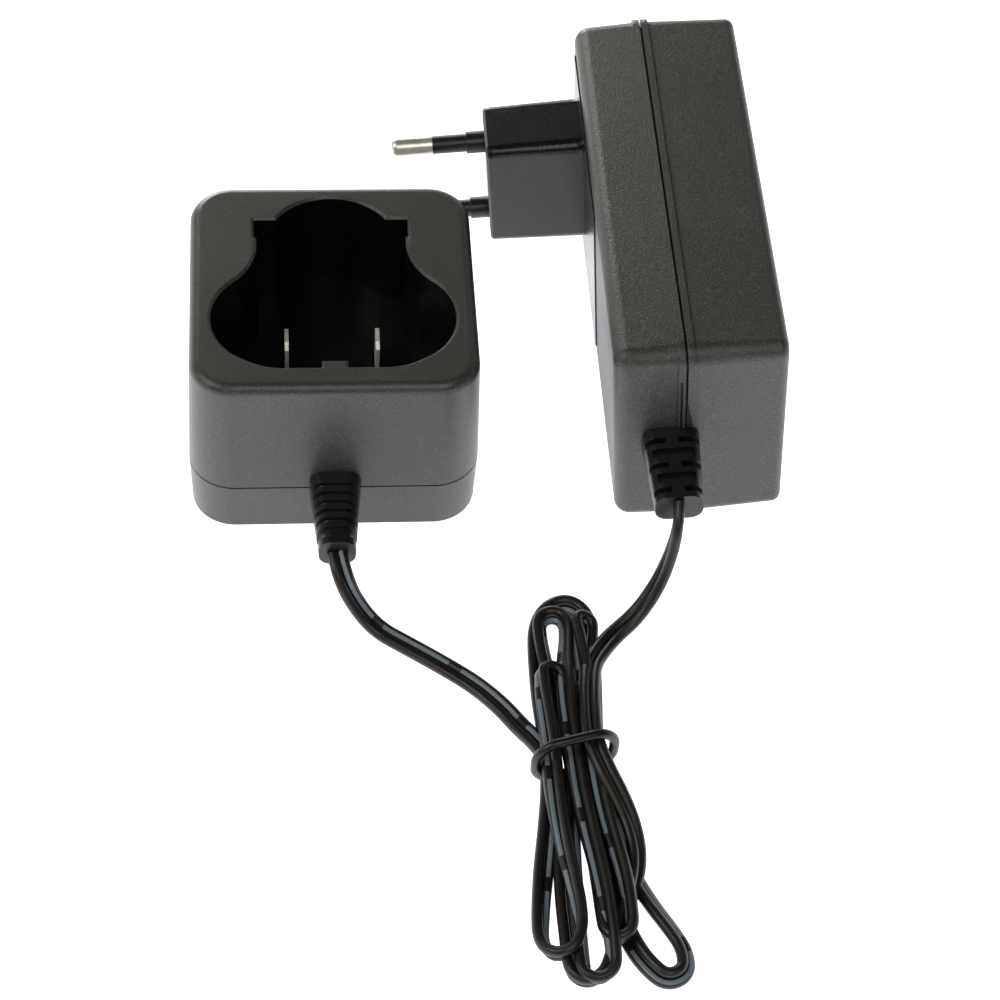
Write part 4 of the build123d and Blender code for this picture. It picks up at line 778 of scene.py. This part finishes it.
inner_finishes = {
    "board": coated("board_resin", (0.02, 0.13, 0.045), 0.3, 0.7, 0.6, 0.03),
    "ferrite": coated("ferrite_grey", (0.035, 0.035, 0.038), 0.7, 3.0, 1.6, 0.05),
    "winding": coated("winding_tape", (0.62, 0.45, 0.05), 0.45, 0.3, 0.8, 0.05),
    "can_sleeve": coated("can_sleeve", (0.012, 0.018, 0.05), 0.3, 0.4, 1.5, 0.02),
    "fuse_body": coated("fuse_glass", (0.5, 0.48, 0.42), 0.15, 0.5, 0.8, 0.01),
    "package": coated("package_epoxy", (0.015, 0.015, 0.016), 0.5, 2.0, 1.5, 0.03),
    "choke_coil": coated("choke_copper", (0.45, 0.16, 0.06), 0.3, 1.2, 1.3, 0.12, 0.8),
    "wire_sleeve": coated("wire_sleeve", (0.3, 0.02, 0.015), 0.4, 1.0, 0.8, 0.02),
}
print("inner finishes", len(inner_finishes))

# %% [markdown]
# The record says which slot each solid belongs to, so the finishes are handed out by slot.
# A softened copy takes the finish of the solid that it stands for. The faces inside the well
# and inside the adapter's parting line get a darker, smoother finish than the rest: its darker
# colour is painted shade, and its specular level is turned down to dim the reflections there.
# That the mould is polished there, and not etched, is a guess.

# %% Hand out the finishes
slot_finishes = {
    "black_casing": adapter_plastic, "black_plug": plug_plastic, "soft_relief": relief_plastic,
    "contact_brass": blade_tin, "nickel_pin": pin_nickel, "pin_insulation": sleeve_plastic,
    "screw_steel": screw_zinc, "sink_plate": sink_metal, "cord_jacket": lead_jacket,
    "tie_sleeve": tie_plastic, **inner_finishes,
}
CUP_PIECES = ("cup_shell", "cup_base")


def dress(piece, material):
    """Gives a piece one finish all over."""
    piece.data.materials.clear()
    piece.data.materials.append(material)


node_slots = {part["node"]: part["material_slot"] for part in frame["record"]["subparts"]}
for name, slot in node_slots.items():
    finish = cup_plastic if name in CUP_PIECES else slot_finishes[slot]
    dress(frame["nodes"][name], finish)
    if name in moulded:
        dress(moulded[name], finish)
WELL_INSET = 3.0
WELL_TOP = 0.55
GROOVE_HALF = 0.23


def give_recess_shade(piece, chosen):
    """Gives the darker recess finish, whose dark colour is painted shade, to the faces whose middle
    is chosen, and counts them.
    """
    piece.data.materials.append(recess_shade_plastic)
    smooth = [face for face in piece.data.polygons if chosen(face.center)]
    for face in smooth:
        face.material_index = 1
    return len(smooth)


def dress_well(piece):
    """Gives the faces inside the well the darker finish, whose dark colour is painted shade."""
    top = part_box("cup_shell")[1].z - WELL_TOP * MM
    count = give_recess_shade(piece, lambda place: inward(place) > WELL_INSET and place.z < top)
    print("smooth faces in the well", count)


def dress_parting(halves):
    """Gives the faces inside the adapter's parting line the darker finish, whose dark colour is
    painted shade.
    """
    axes = {mount["name"]: mount["axis"] for mount in frame["record"]["mounts"]}
    across = -Vector(axes["pin_upper"])
    middle = max(vertex.co.dot(across) for vertex in halves[0].data.vertices)
    for half in halves:
        give_recess_shade(half, lambda place: abs(place.dot(across) - middle) < GROOVE_HALF * MM)
    print("parting plane", round(middle / MM, 2), "mm along the pins' axis")


dress_well(moulded["cup_shell"])
dress_parting([moulded["adapter_pin_shell"], moulded["adapter_cover_shell"]])
dress(lead, lead_jacket)
dress(tie, tie_plastic)
print("dressed", len(node_slots), "solids and", len(moulded) + 2, "new pieces")

# %% [markdown]
# The set stands on a white sheet that is lit from below, as on a light table, so it leaves
# hardly a shadow and the walls are brighter than the tops. The surroundings are white at the
# horizon, fade to a dark ceiling and are darker in front. One soft lamp low behind on the left
# grazes the tops and shows their grain, and two weaker ones fill in from above, on the left
# and in front.

# %% Floor and light
FLOOR_GLOW = 1.3
FLOOR_TINT = (1.0, 0.965, 1.04)
FLOOR_SIZE = 40.0
FLOOR_DROP = 0.02 * MM
CEILING_FROM = 0.55
FRONT_TO_BACK = (-0.5, 0.5)
HORIZON_LIGHT = 0.9
ZENITH_LIGHT = 0.05
FRONT_SHARE = 0.3
BACK_SHARE = 1.1
LAMP_TINT = (1.0, 0.99, 0.9)


def add_floor():
    """A wide plain sheet under the set."""
    bpy.ops.object.select_all(action="DESELECT")
    bpy.ops.mesh.primitive_plane_add(size=FLOOR_SIZE, location=(0.0, 0.0, -FLOOR_DROP))
    floor = bpy.context.object
    floor.name = "white_sheet"
    paper = coated("white_paper", (0.9, 0.9, 0.9), 0.8, 0.05, 0.99, 0.01)
    shader_of(paper).inputs["Emission Color"].default_value = (*FLOOR_TINT, 1.0)
    shader_of(paper).inputs["Emission Strength"].default_value = FLOOR_GLOW
    dress(floor, paper)


def add_lamp(name, place, size, power):
    """A square soft lamp that points at the middle of the set."""
    data = bpy.data.lights.new(name, "AREA")
    data.size = size
    data.energy = power
    data.color = LAMP_TINT
    lamp = bpy.data.objects.new(name, data)
    bpy.context.scene.collection.objects.link(lamp)
    lamp.location = place
    lamp.rotation_euler = (-Vector(place)).to_track_quat("-Z", "Y").to_euler()


def white_surroundings():
    """White light from all sides, which fades towards a dark ceiling."""
    world = bpy.data.worlds.new("white_room")
    world.use_nodes = True
    sky = world.node_tree.nodes["Background"]
    sky.inputs["Color"].default_value = (1.0, 1.0, 1.0, 1.0)
    place = node(world, "ShaderNodeTexCoord")
    parts = node(world, "ShaderNodeSeparateXYZ")
    fade = node(world, "ShaderNodeMapRange")
    fade.inputs["From Max"].default_value = CEILING_FROM
    fade.inputs["To Min"].default_value = HORIZON_LIGHT
    fade.inputs["To Max"].default_value = ZENITH_LIGHT
    depth = node(world, "ShaderNodeMapRange")
    depth.inputs["From Min"].default_value, depth.inputs["From Max"].default_value = FRONT_TO_BACK
    depth.inputs["To Min"].default_value = FRONT_SHARE
    depth.inputs["To Max"].default_value = BACK_SHARE
    join(world, place.outputs["Generated"], parts.inputs["Vector"])
    join(world, parts.outputs["Z"], fade.inputs["Value"])
    join(world, parts.outputs["Y"], depth.inputs["Value"])
    both = maths(world, "MULTIPLY", fade.outputs["Result"], depth.outputs["Result"])
    join(world, both, sky.inputs["Strength"])
    bpy.context.scene.world = world


add_floor()
white_surroundings()
add_lamp("back_lamp", (-0.32, 1.25, 0.34), 0.45, 10.5)
add_lamp("left_lamp", (-0.9, -0.2, 1.0), 0.6, 6.0)
add_lamp("front_lamp", (0.1, -0.62, 0.9), 0.5, 2.6)
bpy.context.scene.view_settings.view_transform = "Standard"
print("lamps ready")
